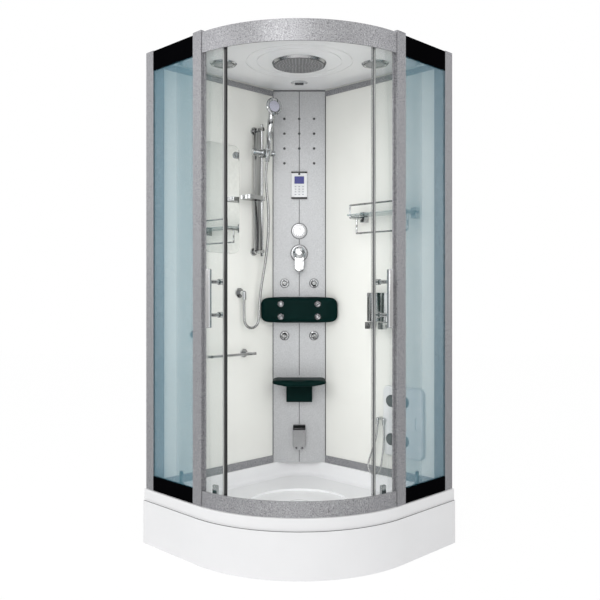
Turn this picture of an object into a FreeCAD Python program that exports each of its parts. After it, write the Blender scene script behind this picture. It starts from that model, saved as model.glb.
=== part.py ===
import FreeCAD, Part
import math
import os
import re
import Sketcher

# Steam shower cabin for a room corner, in millimetres.
# The doors look along -Y, the room corner is at the +Y end, +Z is up, and the cabin is mirrored about X = 0.
# The origin is the centre of the footprint, on the floor.

os.makedirs("parts", exist_ok=True)
doc = FreeCAD.newDocument("steam_shower_cabin")
sheet = doc.addObject("Spreadsheet::Sheet", "Sizes")

SIZES = {
    # footprint and heights
    "wall_side": 900.0,
    "curve_radius": 550.0,
    "rim_top": 220.0,
    "frame_top": 1998.0,
    "frame_inset": 14.0,
    # tray, apron, frame and feet
    "apron_top": 174.0,
    "apron_wall": 5.0,
    "rim_width": 52.0,
    "rim_wall_side": 37.0,
    "tray_skin": 6.0,
    "basin_floor": 150.0,
    "basin_corner": 150.0,
    "recess_radius": 215.0,
    "recess_depth": 9.0,
    "drain_depth": 580.0,
    "drain_hole": 44.0,
    "foot_radius": 20.0,
    "foot_plate": 8.0,
    "foot_stem": 6.0,
    "beam_width": 30.0,
    "beam_height": 30.0,
    "beam_near": 110.0,
    "beam_far": 800.0,
    "cross_near": 320.0,
    "cross_far": 500.0,
    "trap_radius": 52.0,
    "trap_bottom": 46.0,
    "trap_flange": 64.0,
    "waste_radius": 20.0,
    "waste_bore": 17.5,
    "waste_collar": 24.0,
    "waste_collar_length": 50.0,
    "waste_length": 60.0,
    "cover_radius": 57.0,
    "cover_rise": 15.0,
    # frame profiles and glass
    "post_width": 50.0,
    "glass_thick": 6.0,
    "glass_cover": 2.5,
    "glass_bite": 12.0,
    "post_rear_edge": 317.0,
    "post_front_edge": 368.0,
    "post_depth": 15.0,
    "post_proud": 2.5,
    "post_above": 8.0,
    "jamb_edge": 379.0,
    "jamb_thick": 5.5,
    "top_band": 78.0,
    "bottom_band": 58.0,
    "fascia_thick": 6.0,
    "rail_radius": 535.5,
    "rail_inner": 498.0,
    "rail_web": 5.0,
    "rail_leg": 4.0,
    "rail_tail_angle": 156.0,
    "track_width": 13.0,
    "track_drop": 32.0,
    "lip_height": 34.0,
    # doors
    "door_outer": 520.0,
    "door_thick": 6.0,
    "door_open": 32.0,
    "door_span": 43.0,
    "door_gap": 0.35,
    "door_under": 8.0,
    "door_over": 10.0,
    "seal_wide": 8.0,
    "seal_thick": 10.0,
    "handle_length": 216.0,
    "handle_width": 20.0,
    "handle_thick": 12.0,
    "handle_stand": 44.0,
    "handle_height": 1000.0,
    "handle_angle": 3.6,
    "handle_post": 7.0,
    "handle_pitch": 122.0,
    "knob_radius": 11.0,
    "screw_radius": 4.0,
    "knob_height": 16.0,
    "roller_radius": 11.0,
    "roller_thick": 6.0,
    "roller_bore": 3.0,
    "roller_inset": 6.0,
    "guide_size": 11.0,
    "guide_length": 22.0,
    "guide_height": 44.0,
    # walls, column and roof
    "wall_face": 25.0,
    "wall_thick": 10.0,
    "panel_start": 70.0,
    "trim_thick": 4.0,
    "trim_bottom": 33.0,
    "trim_top_low": 1945.0,
    "trim_top_high": 1970.0,
    "trim_strip": 18.0,
    "column_depth": 160.0,
    "column_thick": 8.0,
    "column_top": 1969.0,
    "groove_half": 1.6,
    "groove_deep": 2.5,
    "hole_gap": 1.0,
    "ceiling": 1975.0,
    "roof_skin": 5.0,
    "roof_pan_radius": 492.0,
    "ring_radius": 177.0,
    "ring_depth": 595.0,
    "ring_wide": 3.0,
    "ring_deep": 2.0,
    "outer_ring": 221.0,
    # roof fittings
    "rose_radius": 113.0,
    "rose_depth": 580.0,
    "rose_thick": 10.0,
    "rose_stem": 12.0,
    "elbow_rise": 38.0,
    "spot_radius": 56.0,
    "spot_side": 316.0,
    "spot_depth": 573.0,
    "spot_body": 42.0,
    "spot_rise": 45.0,
    "vent_depth": 284.0,
    "vent_radius": 46.0,
    "vent_rise": 44.0,
    "vent_wall": 4.0,
    "grille_wide": 46.0,
    "grille_long": 40.0,
    "hub_radius": 10.0,
    "rotor_radius": 36.0,
    "rotor_thick": 14.0,
    "axle_radius": 2.5,
    "blade_thick": 2.0,
    "fit_gap": 0.06,
    "play": 0.4,
    # fittings on the column
    "mixer_above": 205.0,
    "valve_spacing": 105.0,
    "mixer_plate": 40.0,
    "plate_thick": 6.0,
    "dome_radius": 27.0,
    "dome_reach": 34.0,
    "ball_radius": 11.0,
    "lever_wide": 42.0,
    "lever_thick": 8.0,
    "cap_radius": 30.0,
    "cap_thick": 5.0,
    "lever_reach": 88.0,
    "lever_gap": 6.0,
    "diverter_plate": 37.0,
    "knob_grip": 22.0,
    "knob_reach": 27.0,
    "valve_wide": 58.0,
    "valve_stem": 15.0,
    "valve_deep": 40.0,
    "valve_margin": 35.0,
    "valve_gap": 8.0,
    "inlet_radius": 10.4,
    "inlet_length": 24.0,
    "inlet_inset": 5.0,
    "pipe_radius": 8.0,
    "pipe_side": 62.0,
    "jet_side": 69.0,
    "jet_above": 64.0,
    "jet_below": 63.0,
    "jet_ring": 21.0,
    "jet_ring_thick": 9.0,
    "jet_ball": 15.0,
    "jet_sink": 3.0,
    "jet_shank": 17.0,
    "jet_tail": 26.0,
    "jet_mouth": 3.5,
    "micro_side": 70.0,
    "micro_radius": 4.5,
    "micro_reach": 5.0,
    "micro_top": 1840.0,
    "micro_pitch": 70.0,
    "panel_wide": 73.0,
    "panel_above": 152.0,
    "panel_tall": 127.0,
    "panel_thick": 12.0,
    "panel_corner": 6.0,
    "display_wide": 45.6,
    "display_high": 35.0,
    "display_above": 70.0,
    "display_deep": 1.5,
    "spout_half": 28.5,
    "spout_low": 281.0,
    "spout_high": 398.0,
    "spout_reach": 40.0,
    # backrest and seat
    "rest_half": 181.5,
    "rest_low": 880.0,
    "rest_tall": 120.0,
    "rest_corner": 30.0,
    "rest_front": 84.0,
    "rest_root": 121.0,
    "rest_gap": 2.5,
    "rest_crown": 2500.0,
    "rest_jet_side": 85.0,
    "rest_jet_spacing": 58.5,
    "rest_jet_inset": 32.0,
    "rest_jet_radius": 15.0,
    "rest_jet_proud": 3.0,
    "rest_jet_sink": 14.0,
    "seat_half": 128.0,
    "seat_reach": 190.0,
    "seat_low": 595.0,
    "seat_high": 626.0,
    "seat_back": 10.0,
    "seat_corner": 40.0,
    "seat_edge": 9.0,
    "pivot_reach": 28.0,
    "pivot_height": 606.0,
    "pin_radius": 5.0,
    "lug_radius": 10.0,
    "lug_inner": 50.0,
    "lug_outer": 58.0,
    "bracket_half": 60.0,
    "bracket_low": 510.0,
    "bracket_high": 577.0,
    "bracket_lip": 12.0,
    "bracket_reach": 52.0,
    "boiler_radius": 28.0,
    "boiler_depth": 112.0,
    "boiler_low": 430.0,
    "boiler_high": 760.0,
    "steam_pipe": 7.0,
    # riser rail, hand shower and dish on the left wall
    "rod_along": 325.0,
    "rod_out": 85.0,
    "rod_radius": 6.0,
    "rod_low": 1185.0,
    "rod_high": 1784.0,
    "foot_disc": 17.0,
    "foot_disc_thick": 8.0,
    "arm_radius": 9.0,
    "arm_inset": 22.0,
    "spine_back": 46.0,
    "spine_front": 53.0,
    "spine_near": 30.0,
    "spine_far": 14.0,
    "slider_height": 1652.0,
    "slider_radius": 14.0,
    "slider_half": 18.0,
    "slider_gap": 0.08,
    "lug_left": 14.0,
    "lug_right": -5.0,
    "boom_out": 22.0,
    "boom_radius": 12.5,
    "boom_left": 58.0,
    "boom_right": 52.0,
    "boom_turn": 28.0,
    "grip_radius": 15.5,
    "grip_long": 16.0,
    "cradle_along": 14.5,
    "cradle_out": 10.0,
    "cradle_radius": 18.0,
    "cradle_high": 30.0,
    "stem_radius": 12.0,
    "stem_top_radius": 15.0,
    "stem_long": 176.0,
    "stem_below": 25.0,
    "nut_radius": 10.0,
    "nut_long": 16.0,
    "head_radius": 39.0,
    "head_thick": 16.0,
    "head_reach": 10.0,
    "head_height": 204.0,
    "lean_side": 2.5,
    "lean_front": 8.0,
    "dish_height": 1446.0,
    "dish_long": 96.0,
    "dish_wide": 66.0,
    "dish_high": 18.0,
    "dish_wall": 3.0,
    "hose_radius": 6.0,
    "outlet_along": 412.0,
    "outlet_rise": 31.0,
    "outlet_flange": 22.0,
    "outlet_pipe": 10.0,
    "outlet_out": 62.0,
    # mirror and towel bar
    "mirror_near": 413.0,
    "mirror_far": 608.0,
    "mirror_low": 1197.0,
    "mirror_high": 1679.0,
    "mirror_thick": 5.0,
    "mirror_corner": 28.0,
    "towel_near": 365.0,
    "towel_far": 640.0,
    "towel_height": 746.0,
    "towel_out": 88.0,
    "towel_radius": 6.0,
    "towel_disc": 19.0,
    "hook_along": 672.0,
    "hook_height": 842.0,
    "hook_out": 46.0,
    "hook_radius": 5.0,
    # shelf, dispenser and foot massage panel on the right wall
    "shelf_near": 430.0,
    "shelf_far": 752.0,
    "shelf_height": 1363.0,
    "shelf_thick": 6.0,
    "shelf_inner": 33.0,
    "shelf_outer": 145.0,
    "guard_rise": 39.0,
    "guard_radius": 4.0,
    "loop_drop": 81.0,
    "block_long": 24.0,
    "block_high": 30.0,
    "block_out": 30.0,
    "dispenser_mid": 560.0,
    "dispenser_half": 70.0,
    "dispenser_low": 895.0,
    "dispenser_high": 1020.0,
    "tube_radius": 32.0,
    "tube_side": 36.0,
    "lever_low": 863.0,
    "lever_high": 893.0,
    "lever_half": 13.0,
    "lever_stroke_gap": 12.0,
    "nozzle_radius": 8.0,
    "plunger_radius": 3.0,
    "foot_near": 559.0,
    "foot_far": 770.0,
    "foot_low": 316.0,
    "foot_high": 617.0,
    "foot_thick": 20.0,
    "foot_corner": 26.0,
    "foot_edge": 7.0,
    "stud_radius": 26.0,
    "stud_near": 605.0,
    "stud_far": 675.0,
    "stud_high": 553.0,
    "stud_low": 387.5,
    "stud_proud": 11.0,
    "pill_half": 13.0,
    "pill_inset": 25.0,
    "pill_low": 440.0,
    "pill_high": 498.0,
    "pill_deep": 6.0,
    "thin_hose": 4.0,
    "nipple_long": 24.0,
    "elbow_pipe": 6.5,
}

for row, (alias, number) in enumerate(SIZES.items(), 1):
    sheet.set("A%d" % row, alias)
    sheet.set("B%d" % row, "%g" % number)
    sheet.setAlias("B%d" % row, alias)

# Heights that follow from the sizes above: what sits together on the column moves together.
HEIGHTS = {
    "rest_high": "rest_low + rest_tall",
    "rest_jet_high": "rest_high - rest_jet_inset",
    "rest_jet_low": "rest_jet_high - rest_jet_spacing",
    "jet_high": "rest_high + jet_above",
    "jet_low": "rest_low - jet_below",
    "mixer_height": "rest_high + mixer_above",
    "cold_height": "mixer_height + inlet_inset",
    "valve_low": "mixer_height - valve_margin",
    "diverter_height": "mixer_height + valve_spacing",
    "hot_height": "diverter_height - inlet_inset",
    "valve_high": "diverter_height + valve_margin",
    "panel_low": "diverter_height + panel_above",
    "panel_high": "panel_low + panel_tall",
    "display_low": "panel_low + display_above",
    "guard_height": "shelf_height + guard_rise",
    "loop_height": "shelf_height - loop_drop",
}
for row, (alias, formula) in enumerate(HEIGHTS.items(), len(SIZES) + 1):
    sheet.set("A%d" % row, alias)
    sheet.set("B%d" % row, "=" + formula)
    sheet.setAlias("B%d" % row, alias)
doc.recompute()

# places worked out from the driving dimensions
STRAIGHT = "(wall_side - curve_radius)"
CORNER_Y = "((wall_side - curve_radius) * sqrt(2) + curve_radius) / 2"
CURVE_Y = "(curve_radius - (wall_side - curve_radius) * sqrt(2)) / 2"
FACE_Y = "(" + CORNER_Y + " - column_depth)"
FRAME_OUT = "(wall_side - frame_inset)"
GLASS_OUT = "(wall_side - frame_inset - glass_cover)"
GLASS_IN = "(wall_side - frame_inset - glass_cover - glass_thick)"
POST_IN = "(wall_side - frame_inset - post_width)"

NODES = {}
serial = 0


def link(text):
    """Puts the sheet's name before each of its aliases in an expression."""
    def named(match):
        word = match.group(0)
        return "Sizes." + word if word in SIZES or word in HEIGHTS else word
    return re.sub(r"[a-z][a-z_0-9]*", named, str(text))


def value(text):
    """The number that an expression of the sheet's aliases stands for."""
    return float(sheet.evalExpression(str(text)))


def bind(piece, **properties):
    for name, text in properties.items():
        piece.setExpression(name, link(text))
    return piece


def put(piece, x=0, y=0, z=0, turn=None):
    """Places a piece; turn is a list of (axis, degrees), the first one applied first."""
    rotation = FreeCAD.Rotation()
    for axis, degrees in turn or []:
        rotation = FreeCAD.Rotation(FreeCAD.Vector(*axis), degrees) * rotation
    piece.Placement = FreeCAD.Placement(FreeCAD.Vector(), rotation)
    for name, text in (("x", x), ("y", y), ("z", z)):
        piece.setExpression("Placement.Base." + name, link(text))
    return piece


X_AXIS = (1, 0, 0)
Y_AXIS = (0, 1, 0)
Z_AXIS = (0, 0, 1)
ALONG = {"x": [(Y_AXIS, 90)], "y": [(X_AXIS, -90)], "z": []}


def add(kind, **properties):
    global serial
    serial += 1
    return bind(doc.addObject(kind, "Piece%03d" % serial), **properties)


def box(x0, x1, y0, y1, z0, z1):
    piece = add("Part::Box", Length="(%s) - (%s)" % (x1, x0), Width="(%s) - (%s)" % (y1, y0),
                Height="(%s) - (%s)" % (z1, z0))
    return put(piece, x0, y0, z0)


def rod(radius, length, x=0, y=0, z=0, along="z"):
    return put(add("Part::Cylinder", Radius=radius, Height=length), x, y, z, ALONG[along])


def cone(radius, top_radius, length, x=0, y=0, z=0, along="z"):
    return put(add("Part::Cone", Radius1=radius, Radius2=top_radius, Height=length), x, y, z, ALONG[along])


def ball(radius, x=0, y=0, z=0):
    return put(add("Part::Sphere", Radius=radius), x, y, z)


def join(*pieces):
    whole = add("Part::MultiFuse")
    whole.Shapes = list(pieces)
    return whole


def group(*pieces):
    whole = add("Part::Compound")
    whole.Links = list(pieces)
    return whole


def cut(base, *tools):
    whole = add("Part::Cut")
    whole.Base = base
    whole.Tool = tools[0] if len(tools) == 1 else join(*tools)
    return whole


def common(*pieces):
    whole = add("Part::MultiCommon")
    whole.Shapes = list(pieces)
    return whole


def mirrored(piece):
    """The same piece on the other side of X = 0."""
    whole = add("Part::Mirroring")
    whole.Source = piece
    whole.Normal = FreeCAD.Vector(*X_AXIS)
    return whole


def in_corner(piece):
    """Turns a piece drawn from the room corner, X along the left wall and Y out of it, into its place."""
    return put(piece, 0, CORNER_Y, 0, [(Z_AXIS, 225)])


def on_column(piece):
    """Moves a piece drawn in front of the column's face, with -Y out of it, into its place."""
    return put(piece, 0, FACE_Y, 0)


def node(name, piece):
    piece.Label = name
    NODES[name] = piece
    return piece


def body():
    global serial
    serial += 1
    return doc.addObject("PartDesign::Body", "Body%03d" % serial)


def sketch(owner, role="XY_Plane", lift=0):
    global serial
    serial += 1
    plane = [item for item in owner.Origin.OriginFeatures if item.Role == role][0]
    drawing = owner.newObject("Sketcher::SketchObject", "Sketch%03d" % serial)
    drawing.AttachmentSupport = [(plane, "")]
    drawing.MapMode = "FlatFace"
    drawing.setExpression("AttachmentOffset.Base.z", link(lift))
    return drawing


def fix(drawing, constraint, text):
    """Adds a dimension to a sketch and binds it to an expression."""
    index = drawing.addConstraint(constraint)
    drawing.setExpression("Constraints[%d]" % index, link(text))


def fix_point(drawing, line, end, x, y):
    fix(drawing, Sketcher.Constraint("DistanceX", -1, 1, line, end, value(x)), x)
    fix(drawing, Sketcher.Constraint("DistanceY", -1, 1, line, end, value(y)), y)


def polygon(drawing, points):
    """A closed outline of straight lines whose corners are pairs of expressions."""
    spots = [FreeCAD.Vector(value(x), value(y), 0) for x, y in points]
    lines = []
    for start, end in zip(spots, spots[1:] + spots[:1]):
        lines.append(drawing.addGeometry(Part.LineSegment(start, end)))
    for line, following in zip(lines, lines[1:] + lines[:1]):
        drawing.addConstraint(Sketcher.Constraint("Coincident", line, 2, following, 1))
    for line, (x, y) in zip(lines, points):
        fix_point(drawing, line, 1, x, y)


def circle(drawing, radius, x=0, y=0):
    centre = FreeCAD.Vector(value(x), value(y), 0)
    round_line = drawing.addGeometry(Part.Circle(centre, FreeCAD.Vector(*Z_AXIS), value(radius)))
    fix(drawing, Sketcher.Constraint("Radius", round_line, value(radius)), radius)
    fix_point(drawing, round_line, 3, x, y)


def quadrant(drawing, low, high, radius):
    """A square from (low, low) to (high, high) whose corner at (high, high) is round."""
    near, far, bend = value(low), value(high), value(radius)
    middle = far - bend
    diagonal = middle + bend / math.sqrt(2)
    spots = [(near, near), (far, near), (far, middle), (diagonal, diagonal), (middle, far), (near, far)]
    spots = [FreeCAD.Vector(x, y, 0) for x, y in spots]
    bottom = drawing.addGeometry(Part.LineSegment(spots[0], spots[1]))
    right = drawing.addGeometry(Part.LineSegment(spots[1], spots[2]))
    bow = drawing.addGeometry(Part.Arc(spots[2], spots[3], spots[4]))
    top = drawing.addGeometry(Part.LineSegment(spots[4], spots[5]))
    left = drawing.addGeometry(Part.LineSegment(spots[5], spots[0]))
    joints = [("Coincident", bottom, 2, right, 1), ("Tangent", right, 2, bow, 1), ("Tangent", bow, 2, top, 1),
              ("Coincident", top, 2, left, 1), ("Coincident", left, 2, bottom, 1), ("Horizontal", bottom),
              ("Horizontal", top), ("Vertical", right), ("Vertical", left)]
    for joint in joints:
        drawing.addConstraint(Sketcher.Constraint(*joint))
    fix_point(drawing, bottom, 1, low, low)
    fix(drawing, Sketcher.Constraint("DistanceX", -1, 1, right, 1, far), high)
    fix(drawing, Sketcher.Constraint("DistanceY", -1, 1, top, 1, far), high)
    fix(drawing, Sketcher.Constraint("Radius", bow, bend), radius)


def pad(owner, drawing, length):
    feature = owner.newObject("PartDesign::Pad", drawing.Name + "Pad")
    feature.Profile = drawing
    return bind(feature, Length=length)


def pocket(owner, drawing, length, upward=False):
    """Cuts a sketch into the body, downwards unless told otherwise, and checks that it cut something."""
    doc.recompute()
    before = owner.Shape.Volume
    feature = owner.newObject("PartDesign::Pocket", drawing.Name + "Pocket")
    feature.Profile = drawing
    feature.Reversed = upward
    bind(feature, Length=length)
    doc.recompute()
    if owner.Shape.Volume >= before:
        raise ValueError("pocket cuts nothing: " + feature.Name)
    return feature


def revolve(owner, drawing, angle="360", centred=False):
    feature = owner.newObject("PartDesign::Revolution", drawing.Name + "Turn")
    feature.Profile = drawing
    feature.ReferenceAxis = (drawing, ["V_Axis"])
    feature.Midplane = centred
    return bind(feature, Angle=angle)


def soften(owner, feature, radius, pick, kind="Fillet"):
    """Rounds the edges of a feature that pick says yes to."""
    doc.recompute()
    edges = []
    for index, edge in enumerate(feature.Shape.Edges, start=1):
        if pick(edge):
            edges.append("Edge%d" % index)
    if not edges:
        raise ValueError("no edges to round on " + feature.Name)
    softened = owner.newObject("PartDesign::" + kind, feature.Name + "Soft")
    softened.Base = (feature, edges)
    bind(softened, **{"Radius" if kind == "Fillet" else "Size": radius})
    owner.Tip = softened
    return softened


def stands_along(axis):
    """Picks straight edges along an axis."""
    def pick(edge):
        if edge.Curve.TypeId != "Part::GeomLine":
            return False
        return abs(abs(edge.Curve.Direction.dot(FreeCAD.Vector(*axis))) - 1) < 1e-6
    return pick


def lies_at(level, axis=2):
    """Picks edges that lie wholly in the plane at a level of one axis."""
    def pick(edge):
        low = (edge.BoundBox.XMin, edge.BoundBox.YMin, edge.BoundBox.ZMin)[axis]
        high = (edge.BoundBox.XMax, edge.BoundBox.YMax, edge.BoundBox.ZMax)[axis]
        return abs(low - value(level)) < 1e-3 and abs(high - value(level)) < 1e-3
    return pick


def slab(x0, x1, y0, y1, z0, z1, corner, rim=None, axis="y", face=None):
    """A plate with round corners seen along an axis, and a softened edge around one face."""
    owner = body()
    planes = {"x": "YZ_Plane", "y": "XZ_Plane", "z": "XY_Plane"}
    first, last = {"x": (x0, x1), "y": (y0, y1), "z": (z0, z1)}[axis]
    spans = {"x": (y0, y1, z0, z1), "y": (x0, x1, z0, z1), "z": (x0, x1, y0, y1)}[axis]
    lift = "-(%s)" % last if axis == "y" else first
    drawing = sketch(owner, planes[axis], lift)
    a0, a1, b0, b1 = spans
    polygon(drawing, [(a0, b0), (a1, b0), (a1, b1), (a0, b1)])
    last_feature = pad(owner, drawing, "(%s) - (%s)" % (last, first))
    directions = {"x": X_AXIS, "y": Y_AXIS, "z": Z_AXIS}
    last_feature = soften(owner, last_feature, corner, stands_along(directions[axis]))
    if rim is not None:
        last_feature = soften(owner, last_feature, rim, lies_at(face, "xyz".index(axis)))
    return owner


def make_tray():
    tray = body()
    rim = sketch(tray, lift="apron_top")
    quadrant(rim, 0, "wall_side - apron_wall", "curve_radius - apron_wall")
    pad(tray, rim, "rim_top - apron_top")
    hollow = sketch(tray, lift="apron_top")
    quadrant(hollow, "tray_skin", "wall_side - apron_wall - tray_skin",
             "curve_radius - apron_wall - tray_skin")
    pocket(tray, hollow, "rim_top - apron_top - tray_skin", upward=True)
    side = "(wall_side - apron_wall - rim_width)"
    bend = "(curve_radius - apron_wall - rim_width)"
    bowl = sketch(tray, lift="basin_floor - tray_skin - recess_depth")
    quadrant(bowl, "rim_wall_side - tray_skin", side + " + tray_skin", bend + " + tray_skin")
    pad(tray, bowl, "rim_top - basin_floor + recess_depth")
    basin = sketch(tray, lift="rim_top")
    quadrant(basin, "rim_wall_side", side, bend)
    pocket(tray, basin, "rim_top - basin_floor")
    recess = sketch(tray, lift="basin_floor")
    circle(recess, "recess_radius", "drain_depth / sqrt(2)", "drain_depth / sqrt(2)")
    last = pocket(tray, recess, "recess_depth")
    low, high = value("basin_floor"), value("rim_top")

    def inner_corner(edge):
        place = edge.BoundBox
        reach = value("rim_wall_side")
        return stands_along(Z_AXIS)(edge) and abs(place.XMin - reach) < 1 and abs(place.YMin - reach) < 1 \
            and abs(place.ZMin - low) < 1 and abs(place.ZMax - high) < 1
    last = soften(tray, last, "basin_corner", inner_corner)
    last = soften(tray, last, "tray_skin * 3", lambda edge: lies_at("basin_floor")(edge)
                  and edge.BoundBox.XMin < value("rim_wall_side") + 1)
    drain = sketch(tray, lift="rim_top")
    circle(drain, "drain_hole", "drain_depth / sqrt(2)", "drain_depth / sqrt(2)")
    pocket(tray, drain, "rim_top")
    return node("shower_tray", in_corner(tray))


def make_apron():
    apron = body()
    outline = sketch(apron)
    quadrant(outline, 0, "wall_side", "curve_radius")
    pad(apron, outline, "apron_top")
    inner = sketch(apron)
    quadrant(inner, "-apron_wall", "wall_side - apron_wall", "curve_radius - apron_wall")
    pocket(apron, inner, "apron_top", upward=True)
    return node("tray_apron", in_corner(apron))


FOOT_SPOTS = [("beam_near", "beam_far"), ("beam_far", "beam_near"), ("beam_far", "cross_far"),
              ("cross_far", "beam_far"), ("beam_near", "cross_near"), ("cross_near", "beam_near")]


def make_underframe():
    """Beams that meet end to side round the trap, and the feet under them."""
    high = "(basin_floor - tray_skin - recess_depth)"
    low = "(basin_floor - tray_skin - recess_depth - beam_height)"

    def edges(middle):
        return middle + " - beam_width / 2", middle + " + beam_width / 2"

    near, far = edges("beam_near"), edges("beam_far")
    inner, outer = edges("cross_near"), edges("cross_far")
    beams = [box(*near, near[0], far[1], low, high), box(near[1], far[1], *near, low, high),
             box(*far, near[1], outer[1], low, high), box(near[1], outer[1], *far, low, high)]
    for cross in (inner, outer):
        beams.append(box(near[1], far[0], *cross, low, high))
        beams.append(box(*cross, inner[1], outer[0], low, high))
    feet = []
    for x, y in FOOT_SPOTS:
        feet.append(join(rod("foot_radius", "foot_plate", x, y, 0), rod("foot_stem", low, x, y, 0)))
    node("tray_frame", in_corner(group(*beams, *feet)))


def make_drain():
    spot = "drain_depth / sqrt(2)"
    underside = "(basin_floor - tray_skin - recess_depth)"
    flange = rod("trap_flange", 4, spot, spot, underside + " - 4")
    pot = rod("trap_radius", underside + " - 4 - trap_bottom", spot, spot, "trap_bottom")
    throat = rod("drain_hole", underside + " - trap_bottom - 8", spot, spot, "trap_bottom + 8")

    def outlet(radius, length):
        pipe = add("Part::Cylinder", Radius=radius, Height="trap_radius + " + length)
        return put(pipe, spot, spot, "trap_bottom + waste_radius + 6", [(Y_AXIS, 90), (Z_AXIS, 225)])
    collar = outlet("waste_collar", "waste_collar_length")
    pipe = outlet("waste_radius", "waste_collar_length + waste_length")
    bore = outlet("waste_bore", "waste_collar_length + waste_length")
    node("drain_trap", in_corner(cut(join(flange, pot, collar, pipe), throat, bore)))
    floor = "(basin_floor - recess_depth)"
    crown = common(ball("cover_radius * 2.2", spot, spot, floor + " + cover_rise - cover_radius * 2.2"),
                   rod("cover_radius", "cover_rise", spot, spot, floor + " + 0.4"))
    plug = rod("drain_hole - 3", 6, spot, spot, floor + " - 5.4")
    node("drain_cover", in_corner(join(crown, plug)))


def make_frame():
    post = box(POST_IN, FRAME_OUT, 0, "post_width", "rim_top", "frame_top + post_above - 5")
    hollow = box(POST_IN + " + 3", GLASS_IN + " - 4", 3, "post_width - 3", "rim_top",
                 "frame_top + post_above - 5")
    slot = box(GLASS_IN, GLASS_OUT, "post_width - glass_bite", "post_width", "rim_top",
               "frame_top + post_above")
    panel_slot = box(0, POST_IN + " + 3", "wall_face - wall_thick", "wall_face", "rim_top",
                     "frame_top + post_above")
    rear = in_corner(cut(post, hollow, slot, panel_slot))
    outer = "(" + FRAME_OUT + " + post_proud)"
    main = box(outer + " - post_depth", outer, "post_rear_edge", "post_front_edge", "rim_top",
               "frame_top + post_above")
    jamb_x = "(wall_side - curve_radius + door_outer + 1.5)"
    jamb = box(jamb_x, jamb_x + " + jamb_thick", "post_front_edge - 5", "jamb_edge",
               "rim_top + rail_web + 0.5", "frame_top - rail_web - 0.5")
    slot = box(GLASS_IN, GLASS_OUT, "post_rear_edge", "post_rear_edge + glass_bite", "rim_top",
               "frame_top + post_above")
    front = in_corner(cut(join(main, jamb), slot))
    node("frame_posts", group(rear, mirrored(rear), front, mirrored(front)))


def make_rails():
    def rail(points_full, points_track, name):
        full = body()
        drawing = sketch(full, "XZ_Plane")
        polygon(drawing, points_full)
        revolve(full, drawing, "2 * (45 deg - asin((post_front_edge + 0.3 - (wall_side - curve_radius))"
                " / (rail_radius - fascia_thick)))", centred=True)
        track = body()
        drawing = sketch(track, "XZ_Plane")
        polygon(drawing, points_track)
        revolve(track, drawing, "rail_tail_angle", centred=True)
        return node(name, put(join(full, track), 0, CURVE_Y, 0, [(Z_AXIS, -90)]))

    top, leg, web = "frame_top", "(rail_inner + rail_leg)", "(frame_top - rail_web)"
    inner, outer = "rail_inner", "rail_radius"
    ledge = "(frame_top - track_drop)"
    rail([("rail_inner", web), ("rail_inner", top), (outer, top), (outer, "frame_top - top_band"),
          (outer + " - fascia_thick", "frame_top - top_band"), (outer + " - fascia_thick", web)],
         [(inner, ledge + " - rail_leg"), ("rail_inner + track_width", ledge + " - rail_leg"),
          ("rail_inner + track_width", ledge), (leg, ledge), (leg, web),
          ("rail_inner + track_width", web), ("rail_inner + track_width", top), (inner, top)], "top_rail")
    base = "(rim_top + rail_web)"
    rail([("rail_inner", "rim_top"), (outer, "rim_top"), (outer, "rim_top + bottom_band"),
          (outer + " - fascia_thick", "rim_top + bottom_band"), (outer + " - fascia_thick", base),
          ("rail_inner", base)],
         [(inner, "rim_top"), ("rail_inner + track_width", "rim_top"), ("rail_inner + track_width", base),
          (leg, base), (leg, "rim_top + lip_height"), (inner, "rim_top + lip_height")], "bottom_rail")


def make_side_glass():
    pane = box(GLASS_IN, GLASS_OUT, "post_width - glass_bite + 0.5", "post_rear_edge + glass_bite - 0.5",
               "rim_top + 4", "frame_top - 4")
    glass = in_corner(group(pane))
    node("side_glass", group(glass, mirrored(glass)))
    bands = []
    for low, high, cap in (("frame_top - top_band", "frame_top", "frame_top - 4"),
                           ("rim_top", "rim_top + bottom_band", "rim_top")):
        block = box(GLASS_IN + " - 2.5", FRAME_OUT, "post_width", "post_rear_edge", low, high)
        slot = box(GLASS_IN, GLASS_OUT, "post_width", "post_rear_edge",
                   low if cap != "rim_top" else "rim_top + 4", cap if cap != "rim_top" else high)
        band = in_corner(cut(block, slot))
        bands.extend([band, mirrored(band)])
    node("side_bands", group(*bands))


def on_curve(piece, angle):
    """Swings a piece drawn with X out from the doors' axis to the left of the middle by an angle."""
    piece.Placement = FreeCAD.Placement(FreeCAD.Vector(), FreeCAD.Rotation(FreeCAD.Vector(0, 0, -1), 90))
    piece.setExpression("Placement.Base.y", link(CURVE_Y))
    piece.setExpression("Placement.Rotation.Angle", link("(90 + %s) * 1 deg" % angle))
    return piece


ROLLER_HEIGHT = "(frame_top - track_drop + roller_radius + play)"
DOOR_LOW = "(rim_top + rail_web + door_under)"
DOOR_HIGH = "(frame_top - rail_web - door_over)"
ROLLER_ANGLES = ("(door_open + roller_inset)", "(door_open + door_span - roller_inset)")
HANDLE_ANGLE = "(door_open + handle_angle)"


def arc_bar(inner, outer, low, high, angle):
    bar = body()
    drawing = sketch(bar, "XZ_Plane")
    polygon(drawing, [(inner, low), (outer, low), (outer, high), (inner, high)])
    revolve(bar, drawing, angle, centred=True)
    return bar


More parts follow.
